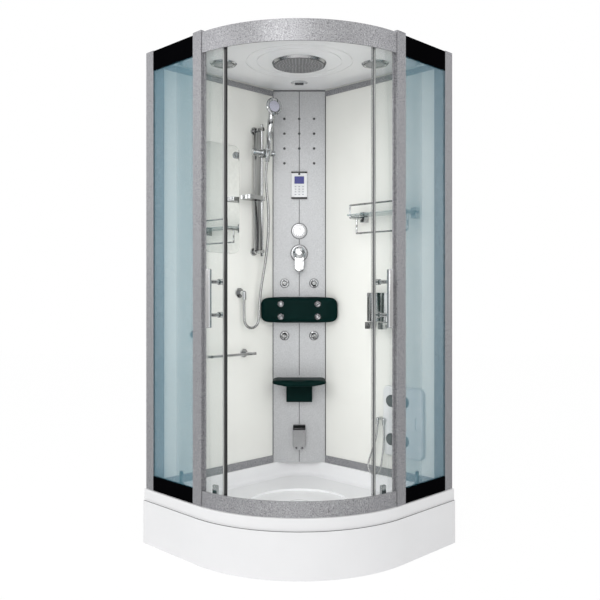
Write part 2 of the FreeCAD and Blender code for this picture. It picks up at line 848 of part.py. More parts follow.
def make_doors():
    inner = "(door_outer - door_thick)"
    glass = on_curve(arc_bar(inner, "door_outer", DOOR_LOW, DOOR_HIGH, "door_span"),
                     "(door_open + door_span / 2)")
    holes = []
    for angle in ROLLER_ANGLES:
        hole = rod("roller_bore + 0.5", "door_thick * 3", "door_outer - 2 * door_thick", 0,
                   ROLLER_HEIGHT, "x")
        holes.append(on_curve(group(hole), angle))
    for sign in ("+", "-"):
        hole = rod("screw_radius + 0.5", "door_thick * 3", "door_outer - 2 * door_thick", 0,
                   "handle_height %s handle_pitch / 2" % sign, "x")
        holes.append(on_curve(group(hole), HANDLE_ANGLE))
    glass = cut(glass, *holes)
    node("door_glass_left", glass)
    node("door_glass_right", mirrored(glass))

    seal_angle = "(seal_wide / door_outer * 180 / pi)"
    middle = "(door_outer - door_thick / 2)"
    strip = arc_bar(middle + " - seal_thick / 2", middle + " + seal_thick / 2", DOOR_LOW,
                    "frame_top - top_band + 24", seal_angle)
    seal = on_curve(strip, "(door_open - %s / 2 - 0.02)" % seal_angle)
    node("door_seal_left", seal)
    node("door_seal_right", mirrored(seal))

    grip = slab("door_outer + handle_stand", "door_outer + handle_stand + handle_thick", "-handle_width / 2",
                "handle_width / 2", "handle_height - handle_length / 2", "handle_height + handle_length / 2",
                "handle_width / 5", "handle_thick / 4", "x", "door_outer + handle_stand + handle_thick")
    pieces = [grip]
    for sign in ("+", "-"):
        level = "handle_height %s handle_pitch / 2" % sign
        pieces.append(rod("handle_post", "handle_stand - door_gap", "door_outer + door_gap", 0, level, "x"))
        pieces.append(rod("screw_radius", "handle_stand + door_thick + knob_height",
                          "door_outer - door_thick - knob_height", 0, level, "x"))
        pieces.append(rod("knob_radius", "knob_height - door_gap", inner + " - knob_height", 0, level, "x"))
    parts = [on_curve(join(*pieces), HANDLE_ANGLE)]
    for angle in ROLLER_ANGLES:
        axle = rod("roller_bore - fit_gap", "door_outer - (rail_inner + rail_leg + 0.6)",
                   "rail_inner + rail_leg + 0.6", 0, ROLLER_HEIGHT, "x")
        start = "(rail_inner + rail_leg + 2 + roller_thick)"
        collar = rod("roller_bore + 3", "door_outer - door_thick - door_gap - " + start, start, 0,
                     ROLLER_HEIGHT, "x")
        parts.append(on_curve(join(axle, collar), angle))
        back = inner + " - door_gap"
        block = box(back + " - guide_size", back, "-guide_length / 2", "guide_length / 2",
                    "rim_top + lip_height + 4", "rim_top + lip_height + 4 + guide_height")
        slide = box(back + " - guide_size + 1", back, "-guide_length / 3", "guide_length / 3",
                    "rim_top + rail_web + 6", "rim_top + lip_height + 5")
        parts.append(on_curve(join(block, slide), angle))
    fittings = group(*parts)
    node("door_fittings_left", fittings)
    node("door_fittings_right", mirrored(fittings))

    for place, angle in zip(("front", "rear"), ROLLER_ANGLES):
        start = "rail_inner + rail_leg + 1.6"
        wheel = rod("roller_radius", "roller_thick", start, 0, ROLLER_HEIGHT, "x")
        bore = rod("roller_bore", "roller_thick", start, 0, ROLLER_HEIGHT, "x")
        middle = start + " + roller_thick / 3"
        groove = cut(rod("roller_radius + 1", "roller_thick / 3", middle, 0, ROLLER_HEIGHT, "x"),
                     rod("roller_radius - 1", "roller_thick / 3", middle, 0, ROLLER_HEIGHT, "x"))
        roller = on_curve(cut(wheel, bore, groove), angle)
        node("door_roller_left_" + place, roller)
        node("door_roller_right_" + place, mirrored(roller))


def make_walls():
    sheet_box = box("panel_start", POST_IN + " + 2.5", "wall_face - wall_thick", "wall_face", "rim_top",
                    "frame_top")
    panel = in_corner(group(sheet_box))
    node("wall_panels", group(panel, mirrored(panel)))
    near = "(column_depth * sqrt(2) - wall_face + 1)"
    strips = [box(near, POST_IN, "wall_face", "wall_face + trim_thick", "rim_top", "rim_top + trim_bottom"),
              box(near, POST_IN, "wall_face", "wall_face + trim_thick", "trim_top_low", "trim_top_high"),
              box(POST_IN + " - trim_strip", POST_IN, "wall_face", "wall_face + trim_thick", "rim_top",
                  "trim_top_high")]
    trim = in_corner(join(*strips))
    node("wall_trims", group(trim, mirrored(trim)))

    column = body()
    drawing = sketch(column, lift="rim_top")
    half = "(column_depth - wall_face * sqrt(2))"
    polygon(drawing, [("-" + half, 0), ("-groove_half", 0), ("-groove_half", "groove_deep"),
                      ("groove_half", "groove_deep"), ("groove_half", 0), (half, 0),
                      (half + " - column_thick", "column_thick"), ("column_thick - " + half, "column_thick")])
    pad(column, drawing, "column_top - rim_top")
    holes = []
    for radius, side, level in (("valve_stem", 0, "mixer_height"), ("valve_stem", 0, "diverter_height"),
                                ("steam_pipe", 0, "(spout_low + spout_high) / 2 + 20"),
                                ("jet_shank", "jet_side", "jet_high"), ("jet_shank", "-jet_side", "jet_high"),
                                ("jet_shank", "jet_side", "jet_low"), ("jet_shank", "-jet_side", "jet_low")):
        holes.append(rod(radius + " + hole_gap", "column_thick * 3", side, "-column_thick", level, "y"))
    node("column_panel", on_column(cut(column, *holes)))


def down_diagonal(depth, side=0):
    """The corner-frame place of a spot at a depth from the room corner, to one side of the middle."""
    return "((%s) - (%s)) / sqrt(2)" % (depth, side), "((%s) + (%s)) / sqrt(2)" % (depth, side)


def make_roof():
    middle = STRAIGHT
    low = "(wall_face + trim_thick + 2)"

    def pan(inset, floor):
        block = box("%s + %s" % (low, inset), "wall_side", "%s + %s" % (low, inset), "wall_side", floor,
                    "frame_top + roof_skin")
        bow = rod("roof_pan_radius - %s" % inset, "300", middle, middle, floor)
        return common(block, bow)

    flange_body = body()
    drawing = sketch(flange_body, lift="frame_top")
    edge = "(" + FRAME_OUT + " + post_proud - post_depth - 0.6)"
    quadrant(drawing, "wall_face - wall_thick - 3", edge, edge + " - " + middle)
    pad(flange_body, drawing, "roof_skin")
    notch_one = box(POST_IN + " - 1", "wall_side", 0, "post_width + 1", "frame_top - 1", "frame_top + 20")
    notch_two = box(0, "post_width + 1", POST_IN + " - 1", "wall_side", "frame_top - 1", "frame_top + 20")
    holes = [pan("roof_skin", "ceiling + roof_skin")]
    for depth, side, radius in (("rose_depth", 0, "rose_stem + hole_gap"),
                                ("vent_depth", 0, "vent_radius - 8"),
                                ("spot_depth", "spot_side", "spot_body + hole_gap"),
                                ("spot_depth", "-spot_side", "spot_body + hole_gap"),
                                ("boiler_depth", 0, "pipe_radius + hole_gap")):
        x, y = down_diagonal(depth, side)
        holes.append(rod(radius, 100, x, y, "ceiling - 20"))
    x, y = down_diagonal("ring_depth")
    grooves = []
    for radius in ("ring_radius", "outer_ring"):
        grooves.append(cut(rod(radius, "ring_deep", x, y, "ceiling"),
                           rod(radius + " - ring_wide", "ring_deep", x, y, "ceiling")))
    roof = cut(join(pan("0", "ceiling"), flange_body), notch_one, notch_two, *holes, *grooves)
    node("roof_panel", in_corner(roof))

    x, y = down_diagonal("rose_depth")
    disc = cone("rose_radius - 5", "rose_radius", "rose_thick", x, y, "ceiling - rose_thick - 0.5")
    stem = rod("rose_stem", "elbow_rise + rose_stem + 6", x, y, "ceiling - 1")
    node("overhead_shower", in_corner(join(disc, stem)))

    spots = []
    for side in ("spot_side", "-spot_side"):
        x, y = down_diagonal("spot_depth", side)
        rim = cut(cone("spot_radius - 4", "spot_radius", 5, x, y, "ceiling - 5.5"),
                  cone("spot_radius - 8", "spot_radius - 14", 3, x, y, "ceiling - 5.5"))
        can = rod("spot_body", "spot_rise", x, y, "ceiling - 1")
        spots.append(in_corner(join(rim, can)))
    node("roof_spots", group(*spots))

    x, y = down_diagonal("vent_depth")
    base = "ceiling + roof_skin + 0.3"
    wall = cut(rod("vent_radius", "vent_rise", x, y, base),
               rod("vent_radius - vent_wall", "vent_rise - vent_wall", x, y, base))
    spoke_room = cut(rod("vent_radius - vent_wall - 2", "vent_wall * 3", x, y,
                         base + " + vent_rise - 2 * vent_wall"),
                     rod("hub_radius + 3", "vent_wall * 3", x, y, base + " + vent_rise - 2 * vent_wall"),
                     box(x + " - 60", x + " + 60", y + " - 3", y + " + 3", base + " + vent_rise - 8",
                         "frame_top + 60"),
                     box(x + " - 3", x + " + 3", y + " - 60", y + " + 60", base + " + vent_rise - 8",
                         "frame_top + 60"))
    axle = rod("axle_radius", "vent_rise - 8", x, y, base + " + 6")
    housing = in_corner(join(cut(wall, spoke_room), axle))
    grille = put(slab("-grille_wide / 2", "grille_wide / 2", "-grille_long / 2", "grille_long / 2",
                      "-3.5", "-0.5", 5, None, "z"), 0, CORNER_Y + " - vent_depth", "ceiling")
    slots = []
    for step in range(-2, 3):
        slots.append(box("-grille_wide / 2 + 6", "grille_wide / 2 - 6", "%d * 6.5 - 1.5" % step,
                         "%d * 6.5 + 1.5" % step, -5, 2))
    slots = put(group(*slots), 0, CORNER_Y + " - vent_depth", "ceiling")
    node("vent_housing", group(housing, cut(grille, slots)))
    hub = rod("hub_radius", "rotor_thick", x, y, base + " + 12")
    blades = []
    for step in range(5):
        blade = box(4, "rotor_radius", "-blade_thick / 2", "blade_thick / 2", -5, 5)
        blade = put(group(blade), 0, 0, 0, [(X_AXIS, 35), (Z_AXIS, 72 * step)])
        blades.append(blade)
    fan = put(join(*blades), x, y, base + " + 12 + rotor_thick / 2")
    node("vent_rotor", in_corner(cut(join(hub, fan), rod("axle_radius + fit_gap", 60, x, y, base))))


def make_plumbing():
    """The mixing valve, its two escutcheons, and the pipes behind the column."""
    depth = "column_thick"
    block = box("-valve_wide / 2", "valve_wide / 2", depth + " + valve_gap",
                depth + " + valve_gap + valve_deep", "valve_low", "valve_high")
    pieces = [block]
    for level, plate in (("mixer_height", "mixer_plate"), ("diverter_height", "diverter_plate")):
        pieces.append(rod("valve_stem", "plate_thick + column_thick + valve_gap + 5", 0, "-plate_thick",
                          level, "y"))
        pieces.append(cone(plate + " - 2", plate, "plate_thick - 0.2", 0, "-plate_thick", level, "y"))
    back = "(column_depth - boiler_depth)"
    for level in ("hot_height", "cold_height"):
        pieces.append(rod("inlet_radius", "inlet_length", 0, depth + " + valve_gap + valve_deep", level, "y"))
    pieces.append(rod("pipe_radius", "ceiling + elbow_rise - valve_high + 5", 0, back, "valve_high - 5"))
    far = "(column_depth - rose_depth)"
    height = "ceiling + elbow_rise"
    pieces.append(rod("pipe_radius", "pipe_side", 0, back, height, "x"))
    pieces.append(rod("pipe_radius", back + " - " + far, "pipe_side", far, height, "y"))
    pieces.append(rod("pipe_radius", "pipe_side - rose_stem + 1", "rose_stem - 1", far, height, "x"))
    for side, place in ((0, back), ("pipe_side", back), ("pipe_side", far)):
        pieces.append(ball("pipe_radius", side, place, height))
    node("water_pipes", on_column(join(*pieces)))

    jaw = "-plate_thick - play - 1"
    knob = cut(rod("knob_grip", "knob_reach", 0, jaw + " - knob_reach", "diverter_height", "y"),
               *[put(group(rod("knob_grip / 6", "knob_reach", 0, jaw + " - knob_reach - 4",
                               "knob_grip * 1.02", "y")),
                     0, 0, "diverter_height", [(Y_AXIS, 30 * step)]) for step in range(12)])
    pointer = box(-1.5, 1.5, jaw + " - knob_reach - 1.5", jaw + " - knob_reach + 1",
                  "diverter_height + knob_grip / 3", "diverter_height + knob_grip * 0.8")
    node("diverter_knob", on_column(join(knob, pointer)))

    front = "-plate_thick - play - 1 - dome_reach"
    barrel = rod("dome_radius", "dome_reach", 0, front, "mixer_height", "y")
    shoulder = common(barrel, ball("dome_radius * 1.32", 0, front + " + dome_radius * 1.24", "mixer_height"))
    socket = ball("ball_radius + play", 0, front, "mixer_height")
    node("mixer_dome", on_column(cut(shoulder, socket)))
    plate_front = front + " - lever_gap"
    neck = cut(ball("ball_radius", 0, front, "mixer_height"),
               rod("2 * ball_radius", 40, 0, plate_front + " - 2 - 40", "mixer_height", "y"))
    blade = slab("-lever_wide / 2", "lever_wide / 2", plate_front + " - lever_thick", plate_front,
                 "mixer_height - lever_reach", "mixer_height", "lever_wide / 2.4", "lever_thick / 4", "y",
                 plate_front + " - lever_thick")
    cap_front = plate_front + " - lever_thick - cap_thick"
    cap = common(rod("cap_radius", "lever_thick + cap_thick", 0, cap_front, "mixer_height", "y"),
                 ball("cap_radius * 2.4", 0, cap_front + " + cap_radius * 2.38", "mixer_height"))
    node("mixer_lever", on_column(join(neck, blade, cap)))


JETS = (("upper_left", "-jet_side", "jet_high"), ("upper_right", "jet_side", "jet_high"),
        ("lower_left", "-jet_side", "jet_low"), ("lower_right", "jet_side", "jet_low"))


def make_nozzles():
    pieces = []
    for name, side, level in JETS:
        centre = "-jet_sink"
        ring = cone("jet_ring - 2.5", "jet_ring", "jet_ring_thick", side, "-jet_ring_thick", level, "y")
        shell = join(ring, rod("jet_shank", "jet_tail", side, -1, level, "y"))
        seat = join(ball("jet_ball + play", side, centre, level),
                    rod("jet_mouth", 40, side, centre, level, "y"))
        pieces.append(cut(shell, seat))
        sphere = cut(ball("jet_ball", side, centre, level),
                     box(side + " - 20", side + " + 20", centre + " - 20", centre + " - jet_ball + 2",
                         level + " - 20", level + " + 20"),
                     rod("jet_mouth", 50, side, centre + " - 25", level, "y"))
        node("body_jet_" + name, on_column(sphere))
    micro = []
    for row in range(4):
        columns = ("-micro_side", "0", "micro_side") if row < 3 else ("-micro_side", "micro_side")
        for side in columns:
            micro.append(cone("micro_radius * 0.6", "micro_radius", "micro_reach", side, "-micro_reach",
                              "micro_top - %d * micro_pitch" % row, "y"))
    front = "-rest_front - rest_jet_proud"
    for side in ("-rest_jet_side", "rest_jet_side"):
        for level in ("rest_jet_high", "rest_jet_low"):
            head = cone("rest_jet_radius - 3", "rest_jet_radius", "rest_jet_proud + rest_jet_sink - play",
                        side, front, level, "y")
            hollow = rod("rest_jet_radius / 3", "rest_jet_proud + 2", side, front, level, "y")
            micro.append(cut(head, hollow))
    node("column_nozzles", on_column(group(*pieces, *micro)))


def make_panel():
    case = slab("-panel_wide / 2", "panel_wide / 2", "-panel_thick", 0, "panel_low", "panel_high",
                "panel_corner", 1.5, "y", "-panel_thick")
    window = box("-display_wide / 2", "display_wide / 2", "-panel_thick", "-panel_thick + display_deep",
                 "display_low", "display_low + display_high")
    keys = []
    for row in range(3):
        for column in range(4):
            x = "(%d - 1.5) * panel_wide / 5.2" % column
            z = "panel_low + 18 + %d * 16" % row
            keys.append(box(x + " - 4.5", x + " + 4.5", "-panel_thick - 0.8", "-panel_thick + 1",
                            z + " - 4", z + " + 4"))
    node("control_panel", on_column(join(cut(case, window), *keys)))


def make_spout():
    front = "-spout_reach"
    round_end = rod("spout_half", "spout_reach", 0, front, "spout_low + spout_half", "y")
    block = box("-spout_half", "spout_half", front, 0, "spout_low + spout_half", "spout_high")
    slope = put(group(box(-60, 60, -60, 0, 0, 60)), 0, "-spout_reach * 0.55", "spout_high", [(X_AXIS, 38)])
    mouth = rod("spout_half - 8", "spout_reach * 0.6", 0, "-spout_reach * 0.75", "spout_low - 5")
    pipe = rod("steam_pipe", "column_depth - boiler_depth + 4", 0, -2, "(spout_low + spout_high) / 2 + 20",
               "y")
    node("steam_spout", on_column(join(cut(join(round_end, block), slope, mouth), pipe)))
    back = "(column_depth - boiler_depth)"
    boiler = rod("boiler_radius", "boiler_high - boiler_low", 0, back, "boiler_low")
    cap = cone("boiler_radius", "boiler_radius / 2", 14, 0, back, "boiler_high")
    feed = rod("steam_pipe", "boiler_low - (spout_low + spout_high) / 2 - 20 + 2 - steam_pipe", 0, back,
               "(spout_low + spout_high) / 2 + 20 + steam_pipe")
    node("steam_generator", on_column(join(boiler, cap, feed)))


def make_backrest():
    owner = body()
    drawing = sketch(owner, "XY_Plane", "rest_low")
    back_end = "rest_root - rest_half - 1 - rest_gap"
    polygon(drawing, [("-rest_root", "-rest_gap"), ("rest_root", "-rest_gap"), ("rest_half", back_end),
                      ("rest_half", "-rest_front"), ("-rest_half", "-rest_front"),
                      ("-rest_half", back_end)])
    pad(owner, drawing, "rest_high - rest_low")
    outline = slab("-rest_half", "rest_half", "-rest_front", 0, "rest_low", "rest_high", "rest_corner",
                   None, "y")
    crown = rod("rest_crown", "2 * rest_half + 20", "-rest_half - 10", "rest_crown - rest_front",
                "(rest_low + rest_high) / 2", "x")
    bow = rod("rest_crown", "rest_high - rest_low + 40", 0, "rest_crown - rest_front", "rest_low - 20")
    cushion = common(owner, outline, crown, bow)
    holes = []
    for x in ("-rest_jet_side", "rest_jet_side"):
        for level in ("rest_jet_high", "rest_jet_low"):
            holes.append(rod("rest_jet_radius + play", "rest_jet_sink + 10", x, "-rest_front - 10", level,
                             "y"))
    node("backrest", on_column(cut(cushion, *holes)))


def make_seat():
    shape = slab("-seat_half", "seat_half", "-seat_reach", "-seat_back", "seat_low", "seat_high",
                 "seat_corner", "seat_edge", "z", "seat_high")
    cuts = [rod("pin_radius + fit_gap", "2 * seat_half + 10", "-seat_half - 5", "-pivot_reach",
                "pivot_height", "x")]
    for x0, x1 in (("-lug_outer", "-lug_inner"), ("lug_inner", "lug_outer")):
        cuts.append(box("%s - 1" % x0, "%s + 1" % x1, "-pivot_reach - lug_radius - 1.5", 0, "seat_low - 1",
                        "pivot_height + lug_radius + 1.5"))
    node("seat", on_column(cut(shape, *cuts)))
    block = slab("-bracket_half", "bracket_half", "-bracket_reach", 0, "bracket_low", "bracket_high", 8,
                 None, "x")
    lip = box("-bracket_half", "bracket_half", "-bracket_reach", "bracket_lip - bracket_reach",
              "bracket_high - 15", "seat_low - play")
    pieces = [block, lip]
    for x0, x1 in (("-lug_outer", "-lug_inner"), ("lug_inner", "lug_outer")):
        pieces.append(rod("lug_radius", "(%s) - (%s)" % (x1, x0), x0, "-pivot_reach", "pivot_height", "x"))
        pieces.append(box(x0, x1, "-pivot_reach - lug_radius", "-pivot_reach + lug_radius",
                          "bracket_low + 20", "pivot_height"))
    pieces.append(rod("pin_radius", "2 * lug_outer", "-lug_outer", "-pivot_reach", "pivot_height", "x"))
    node("seat_bracket", on_column(join(*pieces)))


def wall_arm(along, level, out, radius="arm_radius", disc="foot_disc"):
    """A round foot on the left wall with an arm standing out of it."""
    foot = rod(disc, "foot_disc_thick", along, "wall_face", level, "y")
    arm = rod(radius, out + " - wall_face", along, "wall_face", level, "y")
    return [foot, arm]


def at_rod(piece):
    """Swings a piece drawn round the riser rod, its boom along X, into its place on the left wall."""
    depth = "(rod_along + rod_out) / sqrt(2)"
    return put(piece, "(rod_out - rod_along) / sqrt(2)", CORNER_Y + " - " + depth, 0,
               [(Z_AXIS, SIZES["boom_turn"])])


def in_cradle(piece):
    """Leans a piece drawn round the middle of the holder's cup into the cup."""
    return put(piece, "cradle_along", "-boom_out - cradle_out", "slider_height",
               [(X_AXIS, SIZES["lean_front"]), (Y_AXIS, SIZES["lean_side"])])


def make_riser():
    pieces = [rod("rod_radius", "rod_high - rod_low", "rod_along", "rod_out", "rod_low")]
    for level in ("rod_low + arm_inset", "rod_high - arm_inset"):
        pieces.extend(wall_arm("rod_along", level, "rod_out + arm_radius"))
    pieces.append(box("rod_along - spine_near", "rod_along + spine_far", "spine_back",
                      "spine_front", "rod_low + arm_inset", "rod_high - arm_inset / 2"))
    node("riser_rail", in_corner(join(*pieces)))

    block = rod("slider_radius", "2 * slider_half", 0, 0, "slider_height - slider_half")
    lug = rod("boom_radius + play + 3.5", "lug_left + lug_right", "-lug_left", "-boom_out", "slider_height",
              "x")
    bridge = box("-lug_left", "lug_right", "-boom_out", "-rod_radius - 2",
                 "slider_height - slider_half * 0.5", "slider_height + slider_half * 0.5")
    bore = rod("rod_radius + slider_gap", "4 * slider_half", 0, 0, "slider_height - 2 * slider_half")
    hole = rod("boom_radius + fit_gap", 80, -40, "-boom_out", "slider_height", "x")
    node("handset_slider", at_rod(cut(join(block, lug, bridge), bore, hole)))

    boom = rod("boom_radius", "boom_left + boom_right", "-boom_left", "-boom_out", "slider_height", "x")
    grip = rod("grip_radius", "grip_long", "-boom_left", "-boom_out", "slider_height", "x")
    cup = in_cradle(group(cone("cradle_radius - 2", "cradle_radius", "cradle_high", 0, 0,
                               "-cradle_high / 2")))
    room = in_cradle(group(cone("stem_radius + play", "stem_top_radius + play", "stem_long + stem_below",
                                0, 0, "-stem_below")))
    holder = cut(join(boom, grip, cup), room)
    node("handset_holder", at_rod(group(holder)))

    stem = cone("stem_radius", "stem_top_radius", "stem_long + stem_below", 0, 0, "-stem_below")
    nut = rod("nut_radius", "nut_long + 1", 0, 0, "-stem_below - nut_long")
    head = put(group(cone("head_radius - 7", "head_radius", "head_thick", 0, 0, "-head_thick / 2"),
                     cone("head_radius - 2", "head_radius - 6", 3, 0, 0, "head_thick / 2 - 0.5")),
               0, "-head_reach", "head_height", [(X_AXIS, 80)])
    neck = ball("stem_top_radius", 0, 0, "stem_long")
    handset = in_cradle(join(stem, nut, head, neck))
    node("handset", at_rod(group(handset)))

    clamp = rod("slider_radius", "dish_high", "rod_along", "rod_out", "dish_height - dish_high / 2")
    tray = slab("rod_along + slider_radius - 3", "rod_along + slider_radius - 3 + dish_long",
                "rod_out - dish_wide / 2", "rod_out + dish_wide / 2", "dish_height - dish_high / 2",
                "dish_height + dish_high / 2", 12, None, "z")
    well = slab("rod_along + slider_radius - 3 + dish_wall",
                "rod_along + slider_radius - 3 + dish_long - dish_wall",
                "rod_out - dish_wide / 2 + dish_wall", "rod_out + dish_wide / 2 - dish_wall",
                "dish_height - dish_high / 2 + dish_wall", "dish_height + dish_high", 10, None, "z")
    bore = rod("rod_radius + slider_gap", "4 * dish_high", "rod_along", "rod_out",
               "dish_height - 2 * dish_high")
    node("soap_dish", in_corner(cut(join(cut(tray, well), clamp), bore)))


# The hand shower's hose on the left wall: along the wall, out of it, and up, from the wall outlet to the nut.
SHOWER_HOSE = [
    (412, 62, 988), (412.5, 62, 955), (412.5, 62.5, 920), (411.5, 63, 885), (388, 64, 860.5),
    (353, 66, 860.5), (329.5, 68, 885), (329, 71, 927), (330, 74, 978), (324, 77, 1036),
    (314, 80, 1094), (304, 83.5, 1152), (296, 86, 1210), (291, 89, 1268), (290, 92, 1326),
    (293, 95, 1384), (300, 97.2, 1441), (309, 98.8, 1492), (317, 102.6, 1534), (320.6, 108.2, 1573),
    (320.5, 113.9, 1611.2),
]

# The foot massage hose on the right wall: out of the wall, along it, and up, from outlet to panel.
FOOT_HOSE = [
    (56, 540, 446), (57, 539, 418), (59, 534, 384), (61, 524, 350), (63, 511, 317), (66, 500, 284),
    (68, 495, 260), (69, 503, 240), (70, 522, 228.5), (70, 544, 230), (69, 561, 244), (67, 569, 268),
    (64, 573, 309), (60, 576, 354), (57, 575, 402), (56, 573, 446),
]


def bent_tube(name, radius, points):
    """A round tube along straight runs, joined by arcs that touch both runs."""
    spots = [FreeCAD.Vector(*point) for point in points]
    edges = []
    bends = []
    start = spots[0]
    for before, corner, after in zip(spots, spots[1:], spots[2:]):
        arrive = (corner - before).normalize()
        leave = (after - corner).normalize()
        turn = arrive.getAngle(leave)
        reach = 0.45 * min(before.distanceToPoint(corner), corner.distanceToPoint(after))
        bend = reach / math.tan(turn / 2)
        inward = (leave - arrive).normalize()
        first = corner - arrive * reach
        last = corner + leave * reach
        middle = corner + inward * (bend / math.cos(turn / 2) - bend)
        edges.append(Part.LineSegment(start, first).toShape())
        edges.append(Part.Arc(first, middle, last).toShape())
        bends.append(bend)
        start = last
    edges.append(Part.LineSegment(start, spots[-1]).toShape())
    path = Part.Wire(edges)
    section = Part.Wire([Part.makeCircle(radius, spots[0], spots[1] - spots[0])])
    tube = path.makePipeShell([section], True, False)
    share = tube.Volume / (math.pi * radius ** 2 * path.Length)
    print("%s: length %.0f, volume over section times length %.4f" % (name, path.Length, share))
    print("   bend radii", " ".join("%.0f" % bend for bend in bends))
    whole = doc.addObject("Part::Feature", name + "_tube")
    whole.Shape = tube
    return node(name, in_corner(group(whole)))


def make_hoses():
    bent_tube("handset_hose", value("hose_radius"), SHOWER_HOSE)
    bent_tube("foot_hose", value("thin_hose"), FOOT_HOSE)
    first = SHOWER_HOSE[0]
    level = "%s + outlet_rise" % first[2]
    pieces = wall_arm("outlet_along", level, "outlet_out", "outlet_pipe", "outlet_flange")
    pieces.append(ball("outlet_pipe", "outlet_along", "outlet_out", level))
    pieces.append(rod("outlet_pipe", "outlet_rise", "outlet_along", "outlet_out", first[2]))
    elbows = [join(*pieces)]
    for end in (FOOT_HOSE[0], FOOT_HOSE[-1]):
        root = "wall_face" if end is FOOT_HOSE[0] else "wall_face + foot_thick"
        level = "%s + nipple_long" % end[2]
        arm = rod("elbow_pipe", "%s - (%s)" % (end[0], root), root, end[1], level, "x")
        knee = ball("elbow_pipe", end[0], end[1], level)
        nipple = rod("elbow_pipe", "nipple_long", end[0], end[1], end[2])
        elbows.append(join(arm, knee, nipple))
    node("hose_outlets", in_corner(group(*elbows)))


def make_left_wall():
    mirror = slab("mirror_near", "mirror_far", "wall_face + 0.5", "wall_face + 0.5 + mirror_thick",
                  "mirror_low", "mirror_high", "mirror_corner", 1.2, "y",
                  "wall_face + 0.5 + mirror_thick")
    node("mirror", in_corner(mirror))
    bar = rod("towel_radius", "towel_far - towel_near", "towel_near", "towel_out", "towel_height", "x")
    pieces = [bar]
    for along in ("towel_near + 20", "towel_far - 20"):
        pieces.extend(wall_arm(along, "towel_height", "towel_out + towel_radius", "towel_radius",
                               "towel_disc"))
    hook = wall_arm("hook_along", "hook_height", "hook_out", "hook_radius", "towel_disc * 0.8")
    for rise in (-1, 1):
        lean = 200 if rise < 0 else -10
        hook.append(put(group(rod("hook_radius", 26)), "hook_along", "hook_out", "hook_height",
                        [(X_AXIS, lean)]))
    hook.append(ball("hook_radius * 1.3", "hook_along", "hook_out", "hook_height"))
    node("towel_bar", in_corner(group(join(*pieces), join(*hook))))


def make_right_wall():
    plate = slab("shelf_inner", "shelf_outer", "shelf_near", "shelf_far", "shelf_height - shelf_thick",
                 "shelf_height", 18, None, "z")
    pieces = []
    guard = "(shelf_outer - 2 * guard_radius)"
    loop = "(shelf_inner + 60)"
    for along in ("shelf_near + 22", "shelf_far - 22"):
        block = box("wall_face", "wall_face + block_out", along + " - block_long / 2",
                    along + " + block_long / 2", "shelf_height - block_high",
                    "shelf_height + block_high / 2")
        slot = box("shelf_inner - play", "shelf_outer + 20", along + " - 60", along + " + 60",
                   "shelf_height - shelf_thick", "shelf_height")
        pieces.append(cut(block, slot))
        pieces.append(rod("guard_radius * 1.5", guard + " - wall_face", "wall_face", along,
                          "shelf_height - shelf_thick - 2 * guard_radius", "x"))
        pieces.append(rod("guard_radius", "guard_height - shelf_height + shelf_thick + 2 * guard_radius",
                          guard, along, "shelf_height - shelf_thick - 2 * guard_radius"))
        pieces.append(ball("guard_radius", guard, along, "guard_height"))
        pieces.append(rod("guard_radius", "shelf_height - shelf_thick - 2 * guard_radius - loop_height",
                          loop, along, "loop_height"))
        pieces.append(ball("guard_radius", loop, along, "loop_height"))
    for out, level in ((guard, "guard_height"), (loop, "loop_height")):
        pieces.append(rod("guard_radius", "shelf_far - shelf_near - 44", out, "shelf_near + 22", level, "y"))
    holes = [rod("guard_radius + play", 30, guard, along, "shelf_height - 15")
             for along in ("shelf_near + 22", "shelf_far - 22")]
    node("shelf_frame", in_corner(join(*pieces)))
    node("glass_shelf", in_corner(cut(group(plate), *holes)))

    low, high = "dispenser_low", "dispenser_high"
    back = box("wall_face", "wall_face + 9", "dispenser_mid - dispenser_half",
               "dispenser_mid + dispenser_half", low + " + 6", high + " - 6")
    tubes = [back]
    bores = []
    for side in ("-tube_side", "tube_side"):
        along = "dispenser_mid + " + side
        tubes.append(rod("tube_radius", high + " - " + low, "wall_face + tube_radius + 1", along, low))
        tubes.append(rod("tube_radius + 0.8", 7, "wall_face + tube_radius + 1", along, high + " - 14"))
        tubes.append(rod("nozzle_radius", 27, "wall_face + tube_radius + 1", along, low + " - 26"))
        bores.append(rod("plunger_radius + fit_gap", 60, "wall_face + 10", along,
                         "(lever_low + lever_high) / 2", "x"))
    node("dispenser", in_corner(cut(join(*tubes), *bores)))
    for name, side in (("left", "-tube_side"), ("right", "tube_side")):
        along = "dispenser_mid + " + side
        button = slab("wall_face + tube_radius + 1 + lever_stroke_gap + nozzle_radius",
                      "wall_face + 2 * tube_radius + 6 + lever_stroke_gap",
                      along + " - lever_half", along + " + lever_half", "lever_low", "lever_high", 3, None,
                      "x")
        plunger = rod("plunger_radius", "tube_radius + lever_stroke_gap", "wall_face + tube_radius - 10",
                      along, "(lever_low + lever_high) / 2", "x")
        node("dispenser_button_" + name, in_corner(join(button, plunger)))

    panel = slab("wall_face", "wall_face + foot_thick", "foot_near", "foot_far", "foot_low", "foot_high",
                 "foot_corner", "foot_edge", "x", "wall_face + foot_thick")
    cuts = [slab("wall_face + foot_thick - pill_deep", "wall_face + foot_thick + 5",
                 "foot_far - pill_inset - pill_half", "foot_far - pill_inset + pill_half",
                 "pill_low", "pill_high", "pill_half - 0.5", None, "x")]
    studs = []
    for along in ("stud_near", "stud_far"):
        for level in ("stud_high", "stud_low"):
            face = "wall_face + foot_thick"
            cuts.append(rod("stud_radius", 30, face + " - 6", along, level, "x"))
            cap = common(ball("stud_radius * 1.6", face + " + stud_proud - stud_radius * 1.6", along, level),
                         rod("stud_radius - play", 40, face + " - 5.6", along, level, "x"))
            studs.append(cap)
    node("foot_panel", in_corner(cut(panel, *cuts)))
    node("foot_studs", in_corner(group(*studs)))


